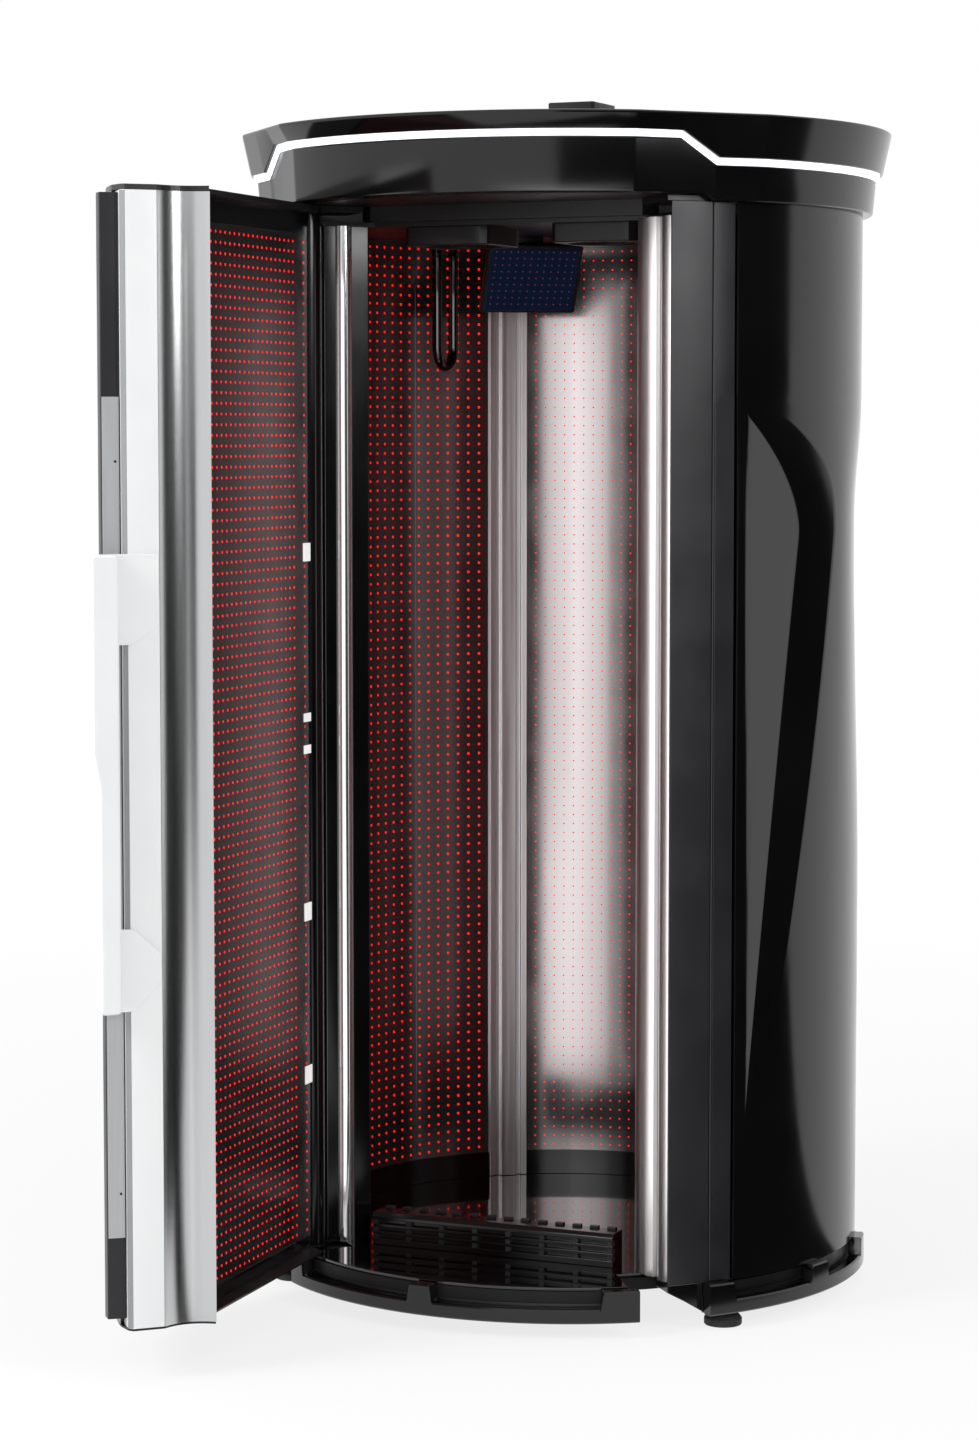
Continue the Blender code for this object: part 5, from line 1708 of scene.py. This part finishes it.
@dataclass
class Studio:
    """Camera at the photograph's viewpoint, pale floor, white surround and soft lamps.

    Attributes:
        camera_at: place of the camera.
        pitch: how far the camera looks down, in degrees.
        yaw: turn of the camera about Z, in degrees.
        lens: focal length in millimetres on a 36 mm upright frame.
        fill: strength of the surround for surfaces that scatter light.
        flag_span: plan angles of the black flag.
        flag_far: distance of the black flag from the cabin's axis.
        flag_low: plan angle at which the lower part of the flag begins.
    """

    camera_at: tuple[float, float, float] = (2.72, -6.42, 1.63)
    pitch: float = 4.53
    yaw: float = 24.18
    lens: float = 90.0
    fill: float = 0.66
    flag_span: tuple[float, float] = (50.0, 114.5)
    flag_far: float = 7.5
    flag_low: float = 20.0

    def seen(self, tree: bpy.types.NodeTree) -> bpy.types.NodeSocket:
        """One for camera, glossy and transmission rays, and otherwise zero.

        Args:
            tree: node tree to add to.

        Returns:
            The socket that gives it.
        """
        path = add(tree, "LightPath")
        two = add(tree, "Math", {0: path.outputs["Is Camera Ray"], 1: path.outputs["Is Glossy Ray"]},
                  operation="MAXIMUM")
        return add(tree, "Math", {0: two.outputs[0], 1: path.outputs["Is Transmission Ray"]},
                   operation="MAXIMUM").outputs[0]

    def build(self) -> None:
        """Builds the camera, the surround, the floor and the lamps."""
        scene = bpy.context.scene
        scene.view_settings.view_transform = "Standard"
        lens = bpy.data.cameras.new("camera")
        lens.sensor_fit, lens.sensor_height, lens.lens = "VERTICAL", 36.0, self.lens
        lens.clip_end = 200.0
        camera = bpy.data.objects.new("camera", lens)
        camera.location = self.camera_at
        camera.rotation_euler = (radians(90 - self.pitch), 0.0, radians(self.yaw))
        scene.collection.objects.link(camera)
        scene.camera = camera
        world = bpy.data.worlds.new("surround")
        world.use_nodes = True
        tree = world.node_tree
        tree.nodes.clear()
        level = add(tree, "MapRange", {"Value": self.seen(tree), "To Min": self.fill, "To Max": 1.0})
        light = add(tree, "Background", {"Color": (1, 1, 1, 1), "Strength": level.outputs["Result"]})
        add(tree, "OutputWorld", {"Surface": light.outputs[0]})
        scene.world = world
        self.floor()
        self.flag()
        self.softbox("doorway_softbox", (0.47, -1.0, 0.98), 22.0, (1.15, 1.95), 2.9)
        self.softbox("reveal_softbox", (-0.27, -0.75, 1.05), -58.0, (0.5, 1.9), 1.3)
        self.lamp("key_lamp", (-3.2, -4.6, 4.2), (0.0, -0.3, 1.1), 2.6, 245.0)
        self.lamp("side_lamp", (4.6, -2.2, 3.0), (0.0, 0.0, 1.1), 1.6, 85.0)

    def floor(self) -> None:
        """Pale floor that keeps its shadow: part lit from itself for the rays that see it, part painted."""
        spread = np.linspace(-20, 20, 9)
        x, y = np.meshgrid(spread, spread)
        place = np.arange(81).reshape(9, 9)
        faces = np.stack([place[:-1, :-1], place[:-1, 1:], place[1:, 1:], place[1:, :-1]], -1).reshape(-1, 4)
        sheet = mesh_of("studio_floor", np.stack([x, y, np.zeros_like(x)], -1), faces.tolist())
        made = bpy.data.materials.new("studio_paper")
        made.use_nodes = True
        tree = made.node_tree
        tree.nodes.clear()
        paint = add(tree, "BsdfDiffuse", {"Color": linear("#f4f4f4")})
        glow = add(tree, "Emission", {"Color": (1, 1, 1, 1)})
        coords = add(tree, "TexCoord")
        far = add(tree, "VectorMath", {0: coords.outputs["Object"]}, operation="LENGTH")
        lit = add(tree, "MapRange", {"Value": far.outputs["Value"], "From Min": 1.4, "From Max": 5.0,
                                     "To Min": 0.80, "To Max": 1.0})
        share = add(tree, "Math", {0: self.seen(tree), 1: lit.outputs["Result"]}, operation="MULTIPLY")
        mix = add(tree, "MixShader", {0: share.outputs[0], 1: paint.outputs[0], 2: glow.outputs[0]})
        add(tree, "OutputMaterial", {"Surface": mix.outputs[0]})
        sheet.data.materials.append(made)

    def flag(self) -> None:
        """Black flag that dark reflections come from, for glossy rays only.

        It is an upright arc about the cabin, the floor before it, a lower arc nearer the camera and a sector
        of floor beside the door's end.
        """
        turn, beside = np.linspace(*self.flag_span, 40), np.linspace(82.0, 108.0, 40)
        low = np.linspace(self.flag_low, self.flag_span[0], 40)
        door = np.array((-0.43, -1.17))
        plan = np.stack([polar(0.75, turn), polar(self.flag_far, turn), polar(self.flag_far, turn),
                         door + polar(0.02, beside), door + polar(1.7, beside),
                         polar(self.flag_far, low), polar(self.flag_far, low)])
        height = np.array((0.004, 0.004, 5.0, 0.003, 0.003, 0.004, 2.3))
        level = np.broadcast_to(height[:, None, None], (7, 40, 1))
        place = np.arange(280).reshape(7, 40)[:, :, None]
        near, far = place[[0, 1, 3, 5]], place[[1, 2, 4, 6]]
        faces = np.concatenate([near[:, :-1], near[:, 1:], far[:, 1:], far[:, :-1]], -1).reshape(-1, 4)
        sheet = mesh_of("studio_flag", np.concatenate([plan, level], -1), faces.tolist())
        made = bpy.data.materials.new("black_felt")
        made.use_nodes = True
        tree = made.node_tree
        tree.nodes.clear()
        felt = add(tree, "BsdfDiffuse", {"Color": linear("#050505")})
        add(tree, "OutputMaterial", {"Surface": felt.outputs[0]})
        sheet.data.materials.append(made)
        sheet.visible_camera = sheet.visible_diffuse = False
        sheet.visible_shadow = sheet.visible_transmission = False

    def softbox(self, name: str, place: tuple[float, float, float], turn: float, size: tuple[float, float],
                power: float) -> None:
        """Tall soft light with a narrow spread, seen only in reflections.

        Args:
            name: object name.
            place: middle of the light.
            turn: turn about Z in degrees, from a light that looks along +Y.
            size: width and height.
            power: power in watts.
        """
        light = bpy.data.lights.new(name, "AREA")
        light.shape, light.size, light.size_y, light.energy = "RECTANGLE", *size, power
        light.spread = radians(64)
        lamp = bpy.data.objects.new(name, light)
        lamp.location = place
        lamp.rotation_euler = (radians(90), 0.0, radians(turn))
        lamp.visible_camera = lamp.visible_diffuse = False
        bpy.context.scene.collection.objects.link(lamp)

    def lamp(self, name: str, place: tuple[float, float, float], aim: tuple[float, float, float],
             size: float, power: float) -> None:
        """Square soft lamp that looks from its place to a point.

        Args:
            name: object name.
            place: middle of the lamp.
            aim: point that it looks at.
            size: side of the lamp.
            power: power in watts.
        """
        light = bpy.data.lights.new(name, "AREA")
        light.size, light.energy = size, power
        lamp = bpy.data.objects.new(name, light)
        lamp.location = place
        look = np.array(aim) - place
        flat = float(np.hypot(look[0], look[1]))
        lamp.rotation_euler = (float(np.arctan2(flat, -look[2])), 0.0, float(np.arctan2(-look[0], look[1])))
        bpy.context.scene.collection.objects.link(lamp)


def main() -> None:
    """Builds the sub-assemblies and the studio in order."""
    logging.basicConfig(level=logging.INFO, format="%(message)s")
    for part in (Base(), LightWalls(), FrontFrame(), OuterShell(), RoofCap(), CeilingFittings(), ScreenUnit(),
                 Door(), Studio()):
        LOG.info("building %s", type(part).__name__)
        part.build()


if __name__ == "__main__":
    main()
